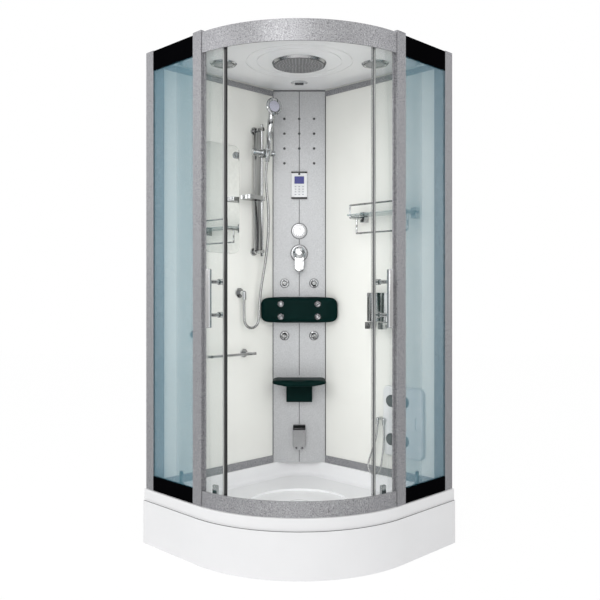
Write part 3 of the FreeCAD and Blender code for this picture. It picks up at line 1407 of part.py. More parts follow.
make_tray()
make_apron()
make_underframe()
make_drain()
make_frame()
make_rails()
make_side_glass()
make_doors()
make_walls()
make_roof()
make_plumbing()
make_nozzles()
make_panel()
make_spout()
make_backrest()
make_seat()
make_riser()
make_hoses()
make_left_wall()
make_right_wall()


doc.recompute()
for item in doc.Objects:
    if "Invalid" in item.State or "Error" in item.State:
        raise ValueError("failed: %s %s %s %s" % (item.Name, item.Label, item.State, item.TypeId))
for name, piece in NODES.items():
    shape = piece.Shape
    if shape.isNull() or not shape.isValid() or not shape.Solids:
        raise ValueError("bad shape: " + name)
    shape.exportStep("parts/%s.step" % name)
print(len(NODES), "nodes")
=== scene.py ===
import math

import bmesh
import bpy
from mathutils import Matrix, Vector


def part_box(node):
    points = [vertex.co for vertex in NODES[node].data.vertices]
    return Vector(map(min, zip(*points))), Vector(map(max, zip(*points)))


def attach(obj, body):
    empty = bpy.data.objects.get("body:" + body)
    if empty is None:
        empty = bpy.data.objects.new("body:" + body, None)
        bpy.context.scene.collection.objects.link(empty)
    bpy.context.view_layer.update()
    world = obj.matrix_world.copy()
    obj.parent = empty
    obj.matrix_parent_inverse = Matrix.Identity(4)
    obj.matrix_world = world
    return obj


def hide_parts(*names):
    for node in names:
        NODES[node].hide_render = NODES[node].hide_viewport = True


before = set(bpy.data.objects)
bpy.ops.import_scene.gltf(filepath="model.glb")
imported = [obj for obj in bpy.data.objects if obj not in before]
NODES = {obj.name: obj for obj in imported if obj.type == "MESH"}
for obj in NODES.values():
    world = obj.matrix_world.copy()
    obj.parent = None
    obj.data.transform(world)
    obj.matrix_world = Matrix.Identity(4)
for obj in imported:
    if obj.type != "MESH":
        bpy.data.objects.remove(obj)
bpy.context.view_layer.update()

# ---------------------------------------------------------------- camera

LENS_MM = 44.88
SENSOR_MM = 36.0
LENS_SHIFT = (0.00125, -0.015)
CAMERA_PLACE = (0.0, -3.1675, 1.0275)

camera_data = bpy.data.cameras.new("camera")
camera_data.sensor_width = SENSOR_MM
camera_data.lens = LENS_MM
camera_data.shift_x = LENS_SHIFT[0]
camera_data.shift_y = LENS_SHIFT[1]
camera_data.clip_end = 60.0
camera = bpy.data.objects.new("camera", camera_data)
camera.location = CAMERA_PLACE
camera.rotation_euler = (math.radians(90), 0, 0)
bpy.context.collection.objects.link(camera)
bpy.context.scene.camera = camera
bpy.context.scene.view_settings.view_transform = "Standard"

# ---------------------------------------------------------------- frames of reference

# Depths in metres: the room corner behind the walls, the centre of the doors' curve, and the column's face.
CORNER_Y = 0.522487
CURVE_Y = 0.027513
FACE_Y = 0.362487
ROOT2 = math.sqrt(2)
UP = Vector((0, 0, 1))
DOWN = (0, 0, -1)
FRONT = (0, -1, 0)
BACK = (0, 1, 0)
ACROSS = (1, 0, 0)
SIDES = (("left", -1), ("right", 1))


def on_left(u, v, z):
    """A point in metres from millimetres: u along the left wall from the room corner, v out of it, z up."""
    return Vector((-(u - v) / ROOT2 / 1000, CORNER_Y - (u + v) / ROOT2 / 1000, z / 1000))


def on_right(u, v, z):
    """The same on the right wall."""
    point = on_left(u, v, z)
    return Vector((-point.x, point.y, point.z))


# ---------------------------------------------------------------- materials

# The colour sockets of a Mix node, by their places: two in and one out.
MIX_FIRST = 6
MIX_SECOND = 7
MIX_RESULT = 2


def material(name, color=(0.8, 0.8, 0.8), rough=0.4, metal=0.0, **sockets):
    """A Principled material; further sockets by name, with _ for a space."""
    made = bpy.data.materials.new(name)
    made.use_nodes = True
    shader = made.node_tree.nodes["Principled BSDF"]
    shader.inputs["Base Color"].default_value = (*color, 1)
    shader.inputs["Roughness"].default_value = rough
    shader.inputs["Metallic"].default_value = metal
    for socket, number in sockets.items():
        shader.inputs[socket.replace("_", " ")].default_value = number
    return made


def node_of(made, kind, **settings):
    """A new node in a material or world, with its sockets and properties set by name."""
    part = made.node_tree.nodes.new("ShaderNode" + kind)
    for key, setting in settings.items():
        if key in part.inputs:
            part.inputs[key].default_value = setting
        else:
            setattr(part, key, setting)
    return part


def wire(made, source, output, target, socket):
    """Links an output to a socket, each by its name or its place."""
    made.node_tree.links.new(source.outputs[output], target.inputs[socket])


def main_of(made):
    """The Principled node of a material."""
    return made.node_tree.nodes["Principled BSDF"]


def noise(made, scale, detail=2.0, stretch=None):
    """A noise texture in object space, in cells per metre."""
    place = node_of(made, "TexCoord")
    texture = node_of(made, "TexNoise", Scale=scale, Detail=detail)
    if stretch:
        mapping = node_of(made, "Mapping", Scale=stretch)
        wire(made, place, "Object", mapping, "Vector")
        wire(made, mapping, "Vector", texture, "Vector")
    else:
        wire(made, place, "Object", texture, "Vector")
    return texture


def ramp(made, source, output, stops):
    """A colour ramp over stops of (place, colour)."""
    part = node_of(made, "ValToRGB")
    while len(part.color_ramp.elements) < len(stops):
        part.color_ramp.elements.new(0.5)
    for element, (place, color) in zip(part.color_ramp.elements, stops):
        element.position = place
        element.color = (*color, 1)
    wire(made, source, output, part, "Fac")
    return part


def bump(made, texture, output, height, strength=0.4):
    """Raises the surface by up to height metres where a texture is bright."""
    part = node_of(made, "Bump", Strength=strength, Distance=height)
    wire(made, texture, output, part, "Height")
    wire(made, part, "Normal", main_of(made), "Normal")


def spread(made, source, output, low, high):
    """A node whose Result runs from low to high as an output runs from 0 to 1."""
    span = node_of(made, "MapRange")
    span.inputs["To Min"].default_value = low
    span.inputs["To Max"].default_value = high
    wire(made, source, output, span, "Value")
    return span


def vary_rough(made, scale, low, high, detail=3.0):
    """Lets the roughness wander between two values, and gives the noise that it follows."""
    texture = noise(made, scale, detail)
    wire(made, spread(made, texture, "Fac", low, high), "Result", main_of(made), "Roughness")
    return texture


def toned(color, share):
    """A colour made darker or paler by a share."""
    return [min(1, share * part) for part in color]


def multiplied(made, first, second):
    """Makes the product of two colour outputs the base colour."""
    product = node_of(made, "Mix", data_type="RGBA", blend_type="MULTIPLY")
    product.inputs["Factor"].default_value = 1.0
    made.node_tree.links.new(first, product.inputs[MIX_FIRST])
    made.node_tree.links.new(second, product.inputs[MIX_SECOND])
    wire(made, product, MIX_RESULT, main_of(made), "Base Color")


def speckled(name, dark, mid, pale, metal=0.15):
    """Silver-grey paint with fine darker and paler flecks, and painted shade that makes it palest face on and
    darker as it turns away.
    """
    made = material(name, mid, 0.40, metal)
    fleck = noise(made, 260, 3.0)
    colors = ramp(made, fleck, "Fac", [(0.32, dark), (0.47, mid), (0.55, mid), (0.68, pale)])
    # Painted shade: the colour darkens as the surface turns away from the view.
    painted_falloff = ramp(made, node_of(made, "LayerWeight", Blend=0.5), "Facing",
                 [(0.0, (1.0, 1.0, 1.0)), (0.12, (0.86, 0.86, 0.86)), (0.35, (0.76, 0.76, 0.77))])
    multiplied(made, colors.outputs["Color"], painted_falloff.outputs["Color"])
    bump(made, fleck, "Fac", 0.0004, 0.25)
    return made


def glossy_white(name, color, low=0.10, high=0.22):
    """Smooth white sheet with a faint cloudiness."""
    made = material(name, color, 0.15, Specular_IOR_Level=0.5)
    texture = vary_rough(made, 6, low, high)
    cloudy = ramp(made, texture, "Fac", [(0.3, toned(color, 0.975)), (0.7, color)])
    wire(made, cloudy, "Color", main_of(made), "Base Color")
    return made


# Painted reflection: how bright chrome is painted from face on (0) to edge on (1).
PAINTED_REFLECTION_BANDS = [
    (0.0, 0.86), (0.10, 0.96), (0.24, 0.36), (0.40, 0.84), (0.58, 1.06), (0.72, 0.24), (1.0, 0.02),
]


def chrome(name, color=(0.78, 0.79, 0.80), low=0.03, high=0.10, reflection_bands=True):
    """Bright metal; bands of painted reflection darken it where it curves away."""
    made = material(name, color, 0.06, 1.0)
    texture = vary_rough(made, 60, low, high)
    if reflection_bands:
        # Painted reflection bands, set by how the surface faces the view.
        facing = node_of(made, "LayerWeight", Blend=0.5)
        tone = ramp(made, facing, "Facing", [(place, toned(color, share)) for place, share in PAINTED_REFLECTION_BANDS])
    else:
        tone = ramp(made, texture, "Fac", [(0.25, toned(color, 0.9)), (0.75, color)])
    wire(made, tone, "Color", main_of(made), "Base Color")
    return made


def studio_chrome(name, color=(0.86, 0.87, 0.88), scale=55.0, dark=0.35, stretch=None):
    """Bright metal with painted reflection: dark and pale patches stand in for the room that small curved
    fittings mirror.
    """
    made = chrome(name, color, 0.05, 0.14)
    shares = [(0.36, dark), (0.44, 0.80), (0.56, 1.0), (0.66, 0.5 + dark / 2)]
    # Painted reflection patches, multiplied into the chrome's tone.
    reflection_patches = ramp(made, noise(made, scale, 1.0, stretch), "Fac",
                   [(place, (share, share, share)) for place, share in shares])
    tone = main_of(made).inputs["Base Color"].links[0].from_socket
    multiplied(made, tone, reflection_patches.outputs["Color"])
    return made


def pane(name, color, clear, grazing):
    """Tinted glass: mostly see-through face on, and more of it shows at a grazing angle."""
    made = material(name, color, 0.03, Specular_IOR_Level=0.8)
    weight = node_of(made, "LayerWeight", Blend=0.25)
    wire(made, spread(made, weight, "Fresnel", clear, grazing), "Result", main_of(made), "Alpha")
    tint = ramp(made, noise(made, 3, 1.0), "Fac", [(0.3, toned(color, 0.97)), (0.7, color)])
    wire(made, tint, "Color", main_of(made), "Base Color")
    return made


def moulded(name, color, rough=0.35, grain=900, height=0.00015, shine=0.5):
    """Plastic, rubber or cover with a fine grain and a faint patchiness."""
    made = material(name, color, rough, Specular_IOR_Level=shine)
    bump(made, noise(made, grain, 2.0), "Fac", height, 0.3)
    tone = ramp(made, noise(made, 12, 2.0), "Fac", [(0.3, toned(color, 0.9)), (0.7, toned(color, 1.06))])
    wire(made, tone, "Color", main_of(made), "Base Color")
    return made


FRAME_GREY = speckled("frame_grey", (0.19, 0.185, 0.195), (0.40, 0.40, 0.415), (0.62, 0.62, 0.64), 0.45)
COLUMN_GREY = speckled("column_grey", (0.43, 0.435, 0.445), (0.52, 0.525, 0.535), (0.60, 0.605, 0.615))
ACRYLIC = glossy_white("acrylic", (0.91, 0.91, 0.92))
ROOF_WHITE = glossy_white("roof_white", (0.84, 0.84, 0.85))
WALL_WHITE = glossy_white("wall_white", (0.87, 0.87, 0.83), 0.16, 0.28)
BAND_BLACK = moulded("band_black", (0.002, 0.002, 0.0025), 0.55, shine=0.0)
CHROME = chrome("chrome")
# Chromes with painted reflection patches; in the streaked one they are drawn out up and down.
STUDIO = studio_chrome("studio_chrome")
STREAKED_REFLECTION = studio_chrome("streaked_reflection_chrome", scale=130.0, dark=0.12, stretch=(1, 1, 0.02))
DARK_CHROME = studio_chrome("dark_chrome", (0.34, 0.34, 0.35), 240.0)
SATIN = chrome("satin_steel", (0.62, 0.62, 0.63), 0.18, 0.30)
MIRROR = chrome("mirror_silver", (0.94, 0.95, 0.94), 0.005, 0.015, False)
SIDE_GLASS = pane("side_glass", (0.14, 0.37, 0.48), 0.20, 0.34)
DOOR_GLASS = pane("door_glass", (0.08, 0.20, 0.18), 0.07, 0.20)
SHELF_GLASS = pane("shelf_glass", (0.30, 0.42, 0.44), 0.25, 0.60)
SEAL_BLACK = moulded("seal_black", (0.008, 0.008, 0.009), 0.35)
SEAL_CLEAR = pane("seal_clear", (0.30, 0.32, 0.32), 0.30, 0.60)
PAD_GREEN = moulded("pad_green", (0.0014, 0.0130, 0.0115), 0.45, 1400, 0.0002, 0.04)
WHITE_PLASTIC = moulded("white_plastic", (0.80, 0.81, 0.82), 0.35)
GREY_RUBBER = moulded("grey_rubber", (0.10, 0.105, 0.11), 0.55)
ZINC = speckled("zinc", (0.28, 0.29, 0.30), (0.38, 0.39, 0.40), (0.46, 0.47, 0.48))
BLACK_PLASTIC = moulded("black_plastic", (0.010, 0.010, 0.011), 0.25)

PAINTED = {
    "shower_tray": ACRYLIC, "tray_apron": ACRYLIC, "tray_frame": ZINC, "drain_trap": WHITE_PLASTIC,
    "drain_cover": ACRYLIC, "frame_posts": FRAME_GREY, "top_rail": FRAME_GREY, "bottom_rail": FRAME_GREY,
    "side_glass": SIDE_GLASS, "side_bands": BAND_BLACK, "door_glass_left": DOOR_GLASS,
    "door_glass_right": DOOR_GLASS, "door_seal_left": SEAL_BLACK, "door_seal_right": SEAL_CLEAR,
    "door_fittings_left": CHROME, "door_fittings_right": CHROME, "door_roller_left_front": WHITE_PLASTIC,
    "door_roller_left_rear": WHITE_PLASTIC, "door_roller_right_front": WHITE_PLASTIC,
    "door_roller_right_rear": WHITE_PLASTIC, "wall_panels": WALL_WHITE, "wall_trims": FRAME_GREY,
    "column_panel": COLUMN_GREY, "roof_panel": ROOF_WHITE, "overhead_shower": SATIN, "roof_spots": CHROME,
    "vent_housing": WHITE_PLASTIC, "vent_rotor": WHITE_PLASTIC, "water_pipes": SATIN,
    "diverter_knob": STUDIO, "mixer_dome": STUDIO, "mixer_lever": STUDIO, "body_jet_upper_left": STUDIO,
    "body_jet_upper_right": STUDIO, "body_jet_lower_left": STUDIO, "body_jet_lower_right": STUDIO,
    "column_nozzles": STUDIO, "control_panel": WHITE_PLASTIC, "steam_spout": SATIN, "steam_generator": ZINC,
    "backrest": PAD_GREEN, "seat": PAD_GREEN, "seat_bracket": PAD_GREEN, "riser_rail": STREAKED_REFLECTION,
    "handset_slider": STUDIO, "handset_holder": STUDIO, "handset": STREAKED_REFLECTION, "handset_hose": SATIN,
    "soap_dish": CHROME, "mirror": MIRROR, "towel_bar": CHROME, "glass_shelf": SHELF_GLASS,
    "shelf_frame": STUDIO, "dispenser": STREAKED_REFLECTION, "dispenser_button_left": STUDIO,
    "dispenser_button_right": STUDIO, "foot_panel": WHITE_PLASTIC, "foot_studs": GREY_RUBBER,
    "foot_hose": SATIN, "hose_outlets": CHROME,
}


def dress(thing, made):
    """Gives an object one material in every slot."""
    if not thing.data.materials:
        thing.data.materials.append(made)
    for slot in thing.material_slots:
        slot.material = made


for name, made in PAINTED.items():
    dress(NODES[name], made)

# ---------------------------------------------------------------- hoses

# Control points in millimetres, from the wall outlet on, as on_left and on_right read them.
SHOWER_HOSE = [
    (412, 62, 988), (412.5, 62, 955), (412.5, 62.5, 920), (411.5, 63, 885), (388, 64, 860.5),
    (353, 66, 860.5), (329.5, 68, 885), (329, 71, 927), (330, 74, 978), (324, 77, 1036), (314, 80, 1094),
    (304, 83.5, 1152), (296, 86, 1210), (291, 89, 1268), (290, 92, 1326), (293, 95, 1384),
    (300, 97.2, 1441), (309, 98.8, 1492), (317, 102.6, 1534), (320.6, 108.2, 1573), (320.5, 113.9, 1611.2),
]
FOOT_HOSE = [
    (540, 56, 446), (539, 57, 418), (534, 59, 384), (524, 61, 350), (511, 63, 317), (500, 66, 284),
    (495, 68, 260), (503, 69, 240), (522, 70, 228.5), (544, 70, 230), (561, 69, 244), (569, 67, 268),
    (573, 64, 309), (576, 60, 354), (575, 57, 402), (573, 56, 446),
]


def hose(name, points, radius):
    """A smooth tube along control points."""
    curve = bpy.data.curves.new(name, "CURVE")
    curve.dimensions = "3D"
    curve.bevel_depth = radius
    curve.bevel_resolution = 5
    curve.resolution_u = 10
    line = curve.splines.new("NURBS")
    line.points.add(len(points) - 1)
    for knot, place in zip(line.points, points):
        knot.co = (*place, 1)
    line.order_u = 3
    line.use_endpoint_u = True
    thing = bpy.data.objects.new(name, curve)
    bpy.context.collection.objects.link(thing)
    return thing


def wound(name, color, pitch):
    """Bright wound hose: rings across a metal tube, level with the floor."""
    made = chrome(name, color, 0.12, 0.22)
    place = node_of(made, "TexCoord")
    rings = node_of(made, "TexWave", Scale=pitch, wave_type="BANDS", bands_direction="Z")
    wire(made, place, "Object", rings, "Vector")
    bump(made, rings, "Fac", 0.0008, 0.7)
    return made


HOSE_STEEL = wound("hose_steel", (0.66, 0.66, 0.66), 60)
shower_hose = hose("shower_hose", [on_left(*p) for p in SHOWER_HOSE], 0.006)
dress(shower_hose, HOSE_STEEL)
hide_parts("handset_hose")
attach(shower_hose, "cabin")
foot_hose = hose("foot_massage_hose", [on_right(*p) for p in FOOT_HOSE], 0.004)
dress(foot_hose, HOSE_STEEL)
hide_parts("foot_hose")
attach(foot_hose, "cabin")

# ---------------------------------------------------------------- pieces
# Sizes and places from here on are in metres.


def finish_piece(name, mesh, made, body, smooth=40):
    """An object from a bmesh, shaded smooth up to an angle, riding on a body."""
    data = bpy.data.meshes.new(name)
    mesh.normal_update()
    mesh.to_mesh(data)
    mesh.free()
    thing = bpy.data.objects.new(name, data)
    bpy.context.collection.objects.link(thing)
    data.shade_smooth()
    if smooth < 180:
        data.set_sharp_from_angle(angle=math.radians(smooth))
    dress(thing, made)
    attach(thing, body)
    return thing


def turned(degrees, axis):
    """A turn about the X, Y or Z axis."""
    return Matrix.Rotation(math.radians(degrees), 4, axis)


def frame_at(origin, axis, across=None):
    """A matrix with Z along axis and X as near to across as it can be."""
    z = Vector(axis).normalized()
    if across is None:
        across = ACROSS if abs(z.x) < 0.9 else BACK
    y = z.cross(Vector(across)).normalized()
    x = y.cross(z)
    turn = Matrix((x, y, z)).transposed().to_4x4()
    return Matrix.Translation(Vector(origin)) @ turn


def add_lathe(mesh, profile, place, steps=48):
    """Revolves (radius, height) pairs about the Z axis of a place."""
    rings = []
    for radius, height in profile:
        if radius < 1e-6:
            rings.append([mesh.verts.new(place @ Vector((0, 0, height)))])
            continue
        ring = []
        for step in range(steps):
            angle = 2 * math.pi * step / steps
            spot = Vector((radius * math.cos(angle), radius * math.sin(angle), height))
            ring.append(mesh.verts.new(place @ spot))
        rings.append(ring)
    for low, high in zip(rings, rings[1:]):
        for step in range(steps):
            after = (step + 1) % steps
            if len(low) == 1:
                mesh.faces.new((low[0], high[step], high[after]))
            elif len(high) == 1:
                mesh.faces.new((low[step], low[after], high[0]))
            else:
                mesh.faces.new((low[step], low[after], high[after], high[step]))


def add_block(mesh, size, place, round_off=0.001, segments=2):
    """A block with rounded edges, centred on a place."""
    made = bmesh.ops.create_cube(mesh, size=1.0, matrix=place @ Matrix.Diagonal((*size, 1)))
    edges = {edge for vert in made["verts"] for edge in vert.link_edges}
    bmesh.ops.bevel(mesh, geom=list(edges), offset=round_off, segments=segments, profile=0.5, affect="EDGES")


def rounded(half_wide, half_high, corner, reach, steps):
    """Points round a rectangle, reach away from the centre of each round corner."""
    points = []
    for index, (sx, sy) in enumerate(((1, 1), (-1, 1), (-1, -1), (1, -1))):
        for step in range(steps + 1):
            angle = math.radians(90 * index + 90 * step / steps)
            points.append((sx * (half_wide - corner) + reach * math.cos(angle),
                           sy * (half_high - corner) + reach * math.sin(angle)))
    return points


def skin(mesh, rings):
    """Faces from each ring of points to the next, and one over each end."""
    count = len(rings[0])
    for near, far in zip(rings, rings[1:]):
        for step in range(count):
            after = (step + 1) % count
            mesh.faces.new((near[step], near[after], far[after], far[step]))
    mesh.faces.new(rings[-1])
    mesh.faces.new(list(reversed(rings[0])))


def add_plate(mesh, wide, high, corner, thick, place, steps=8, edge=0.0006):
    """A plate with round corners and a softened front edge, its back on a place and its front along Z."""
    rings = []
    for inset, level in ((0, 0), (0, thick - edge), (edge, thick)):
        outline = rounded(wide / 2, high / 2, corner, corner - inset, steps)
        rings.append([mesh.verts.new(place @ Vector((x, y, level))) for x, y in outline])
    skin(mesh, rings)


def add_arc(mesh, inner, outer, start, end, low, high, side, steps=6):
    """A bar about the doors' centre, between two angles in degrees off the middle, to the side -1 or 1."""
    centre = Vector((0, CURVE_Y, 0))
    sections = []
    for step in range(steps + 1):
        angle = math.radians(start + (end - start) * step / steps)
        out = Vector((side * math.sin(angle), -math.cos(angle), 0))
        sections.append([mesh.verts.new(centre + out * radius + UP * level)
                         for radius, level in ((inner, low), (outer, low), (outer, high), (inner, high))])
    skin(mesh, sections)
    bmesh.ops.recalc_face_normals(mesh, faces=mesh.faces)


DISPLAY_BLUE = moulded("display_blue", (0.060, 0.065, 0.27), 0.18, shine=0.2)
KEY_GREY = moulded("key_grey", (0.42, 0.43, 0.47), 0.4)
ROSE_FACE = moulded("rose_face", (0.17, 0.17, 0.175), 0.45, 300, 0.0006)
NOZZLE_PALE = moulded("nozzle_pale", (0.36, 0.36, 0.37), 0.5)
LENS = moulded("lens", (0.30, 0.31, 0.31), 0.12)
EDGE_PALE = moulded("edge_pale", (0.45, 0.46, 0.45), 0.3)
# Dark grey for painted shade lines in grooves, gaps and round fittings, and for small dark parts.
GROOVE_DARK = moulded("groove_dark", (0.07, 0.07, 0.075), 0.5)
BRIGHT_PLATE = chrome("bright_plate", (0.92, 0.92, 0.92), 0.15, 0.25)
DISH_SATIN = chrome("dish_satin", (0.50, 0.50, 0.51), 0.25, 0.35, False)
SPRAY_PALE = moulded("spray_pale", (0.55, 0.55, 0.66), 0.35)

# The control panel: a black cap at each end, a small sensor eye, the display and its keys.
DISPLAY_Z = 1.5495
KEYS_Z = 1.4815
KEY_STEP_X = 0.0175
KEY_STEP_Z = 0.0125
panel_low, panel_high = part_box("control_panel")
panel_y = panel_low[1]
caps = bmesh.new()
for level in (panel_low[2] + 0.0035, panel_high[2] - 0.0035):
    add_block(caps, (0.0745, 0.0138, 0.0074), Matrix.Translation((0, panel_y + 0.0062, level)), 0.0012)
add_lathe(caps, [(0.0052, 0), (0.0052, 0.001), (0.0, 0.0018)],
          frame_at((0, panel_y + 0.0002, panel_high[2] - 0.0115), FRONT), 24)
finish_piece("panel_caps", caps, BLACK_PLASTIC, "cabin")
screen = bmesh.new()
add_plate(screen, 0.0452, 0.0346, 0.002, 0.0016, frame_at((0, panel_y + 0.0020, DISPLAY_Z), FRONT, ACROSS))
finish_piece("display", screen, DISPLAY_BLUE, "cabin")
keys = bmesh.new()
for row in range(4):
    for column in range(3):
        corner = ((column - 1) * KEY_STEP_X, panel_y + 0.0004, KEYS_Z + row * KEY_STEP_Z)
        add_plate(keys, 0.0085, 0.0042, 0.0015, 0.0012, frame_at(corner, FRONT, ACROSS), 3)
finish_piece("panel_keys", keys, KEY_GREY, "cabin")

# The rain shower's face: a dark plate with rings of soft nozzles.
NOZZLE_RINGS = 7
NOZZLE_STEP = 0.0138
rose_low, rose_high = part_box("overhead_shower")
rose_centre = Vector((0, (rose_low[1] + rose_high[1]) / 2, rose_low[2]))
face = bmesh.new()
add_lathe(face, [(0.1045, -0.0002), (0.1045, 0.0008), (0.1035, 0.0012), (0.0, 0.0012)],
          frame_at(rose_centre, DOWN), 64)
finish_piece("rose_plate", face, ROSE_FACE, "cabin")
tips = bmesh.new()
for ring in range(1, NOZZLE_RINGS + 1):
    count = 6 * ring
    for step in range(count):
        angle = 2 * math.pi * (step + 0.5 * (ring % 2)) / count
        spot = rose_centre + Vector((math.cos(angle), math.sin(angle), 0)) * (ring * NOZZLE_STEP)
        add_lathe(tips, [(0.0028, 0.001), (0.0020, 0.0032), (0.0, 0.0034)], frame_at(spot, DOWN), 8)
finish_piece("rose_nozzles", tips, NOZZLE_PALE, "cabin")

# The lens of each roof spot.
SPOT_X = 0.316
SPOT_Y = CORNER_Y - 0.573
LENS_PROFILE = [(0.043, 0.0008), (0.041, -0.001), (0.020, -0.0026), (0.0, -0.003)]
spot_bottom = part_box("roof_spots")[0][2]
for word, side in SIDES:
    lens = bmesh.new()
    add_lathe(lens, LENS_PROFILE, frame_at((side * SPOT_X, SPOT_Y, spot_bottom), UP), 40)
    finish_piece("spot_lens_" + word, lens, LENS, "cabin")

# Dark lines on the column: painted shade down its middle groove between the fittings, and dark lines beside
# the walls and under the roof.
column_low, column_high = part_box("column_panel")
column_bottom = column_low[2]
column_top = column_high[2]
GROOVE_RUNS = [
    (column_bottom + 0.001, 0.278), (0.400, 0.588), (0.630, 0.875), (1.003, 1.114), (1.248, 1.271),
    (1.349, 1.460), (1.592, column_top - 0.001),
]
lines = bmesh.new()
# Painted shade: a dark strip along the groove's bottom.
for low, high in GROOVE_RUNS:
    middle = Matrix.Translation((0, FACE_Y + 0.0017, (low + high) / 2))
    add_block(lines, (0.0030, 0.0012, high - low), middle, 0.0002, 1)
finish_piece("column_groove_shade", lines, GROOVE_DARK, "cabin")
SEAM_X = 0.1238
seams = bmesh.new()
for word, side in SIDES:
    middle = Matrix.Translation((side * SEAM_X, FACE_Y - 0.0008, (column_bottom + column_top) / 2))
    add_block(seams, (0.0042, 0.0030, column_top - column_bottom - 0.002), middle, 0.0006, 1)
above = Matrix.Translation((0, FACE_Y + 0.004, column_top + 0.0029))
add_block(seams, (0.246, 0.006, 0.0055), above, 0.0006, 1)
finish_piece("column_seams", seams, GROOVE_DARK, "cabin")

# Each door: a pale edge strip between two dark lines, a bright front plate on the handle's bar, and a dark
# guide block at the foot that runs on the bottom rail. All but the plate lie evenly about the glass's radius,
# and the turns of the strip and the block are in degrees off the middle.
DOOR_RADIUS = 0.5170
STRIP_HALF = 0.0038
LINE_HALF = 0.0040
SHOE_HALF = 0.0052
SHOE_FROM = 31.6
SHOE_TO = 33.4
STRIP_FROM = 32.0
STRIP_TO = 32.6
LINE_TURN = 0.12
HANDLE_TURN = math.radians(35.6)
HANDLE_REACH = 0.5755
HANDLE_Z = 1.0
for word, side in SIDES:
    body = "door_" + word
    low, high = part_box("door_glass_" + word)
    bottom = low[2] + 0.001
    top = high[2] - 0.052
    strip = bmesh.new()
    add_arc(strip, DOOR_RADIUS - STRIP_HALF, DOOR_RADIUS + STRIP_HALF, STRIP_FROM, STRIP_TO, bottom, top, side)
    finish_piece("door_edge_" + word, strip, EDGE_PALE, body)
    borders = bmesh.new()
    for start in (STRIP_FROM - LINE_TURN, STRIP_TO):
        add_arc(borders, DOOR_RADIUS - LINE_HALF, DOOR_RADIUS + LINE_HALF, start, start + LINE_TURN,
                bottom, top, side)
    finish_piece("door_edge_lines_" + word, borders, GROOVE_DARK, body)
    out = Vector((side * math.sin(HANDLE_TURN), -math.cos(HANDLE_TURN), 0))
    front = Vector((0, CURVE_Y, HANDLE_Z)) + out * HANDLE_REACH
    plate = bmesh.new()
    add_plate(plate, 0.016, 0.208, 0.004, 0.0016, frame_at(front, out, out.cross(UP)), 4)
    finish_piece("handle_face_" + word, plate, BRIGHT_PLATE, body)
    shoe = bmesh.new()
    add_arc(shoe, DOOR_RADIUS - SHOE_HALF, DOOR_RADIUS + SHOE_HALF, SHOE_FROM, SHOE_TO,
            bottom, low[2] + 0.020, side)
    finish_piece("door_shoe_" + word, shoe, BLACK_PLASTIC, body)

# The hand shower's face: a pale spray plate with nozzles inside a dark ring, and a bright sleeve on its grip.
# In degrees: the holder's turn, the hand shower's lean in it to the side and to the front, and the head's
# tilt on the grip.
HOLDER_TURN = 28
LEAN_SIDE = 2.5
LEAN_FRONT = 8
HEAD_TILT = 80
HOLDER_ROOT = on_left(325, 85, 1652)
CRADLE_REACH = Vector((0.0145, -0.032, 0))
HEAD_OFFSET = (0, -0.010, 0.204)
cup = HOLDER_ROOT + turned(HOLDER_TURN, "Z") @ CRADLE_REACH
lean = turned(HOLDER_TURN, "Z") @ turned(LEAN_SIDE, "Y") @ turned(LEAN_FRONT, "X")
hand = Matrix.Translation(cup) @ lean
head = hand @ Matrix.Translation(HEAD_OFFSET) @ turned(HEAD_TILT, "X")
spray = bmesh.new()
add_lathe(spray, [(0.0245, 0.0106), (0.0245, 0.0120), (0.0235, 0.0125), (0.0, 0.0130)], head, 48)
finish_piece("spray_plate", spray, SPRAY_PALE, "handset")
surround = bmesh.new()
add_lathe(surround, [(0.0262, 0.0104), (0.0260, 0.0120), (0.0248, 0.0120)], head, 48)
finish_piece("spray_ring", surround, GROOVE_DARK, "handset")
drops = bmesh.new()
for radius, count in ((0.007, 6), (0.0135, 12), (0.0200, 18)):
    for step in range(count):
        angle = 2 * math.pi * step / count
        spot = head @ Matrix.Translation((radius * math.cos(angle), radius * math.sin(angle), 0.0120))
        add_lathe(drops, [(0.0014, 0), (0.0010, 0.0020), (0.0, 0.0022)], spot, 8)
finish_piece("spray_nozzles", drops, NOZZLE_PALE, "handset")
grip = bmesh.new()
add_lathe(grip, [(0.0134, 0.062), (0.0142, 0.064), (0.0156, 0.148), (0.0147, 0.150)], hand, 32)
finish_piece("handset_sleeve", grip, STREAKED_REFLECTION, "handset")

# Body jets: a bright stepped ring over a dark rim painted as the shade round its foot for those on the column,
# and a dark metal ring for those in the backrest.
BODY_JETS = [(x, z) for z in (1.064, 0.817) for x in (-0.069, 0.069)]
JETS_IN_PAD = [(x, z) for x in (-0.085, 0.085) for z in (0.968, 0.9095)]
PAD_JET_Y = FACE_Y - 0.0870
RIM_PROFILE = [(0.0221, 0.0), (0.0221, 0.0016), (0.0211, 0.0020)]
SHIELD_PROFILE = [
    (0.0211, 0.0018), (0.0207, 0.0060), (0.0195, 0.0093), (0.0180, 0.0098), (0.0170, 0.0082),
    (0.0158, 0.0078),
]
PAD_RING_PROFILE = [
    (0.0151, -0.004), (0.0148, 0.0006), (0.0118, 0.0024), (0.0090, 0.0012), (0.0062, 0.0018),
    (0.0052, 0.0006),
]
rims = bmesh.new()
shields = bmesh.new()
for x, z in BODY_JETS:
    place = frame_at((x, FACE_Y, z), FRONT)
    # The dark rim is painted shade round the jet's foot.
    add_lathe(rims, RIM_PROFILE, place, 40)
    add_lathe(shields, SHIELD_PROFILE, place, 40)
finish_piece("jet_rim_shade", rims, GROOVE_DARK, "cabin")
finish_piece("jet_shields", shields, STUDIO, "cabin")
mouths = bmesh.new()
for x, z in JETS_IN_PAD:
    add_lathe(mouths, PAD_RING_PROFILE, frame_at((x, PAD_JET_Y, z), FRONT), 32)
finish_piece("pad_jet_rings", mouths, DARK_CHROME, "cabin")
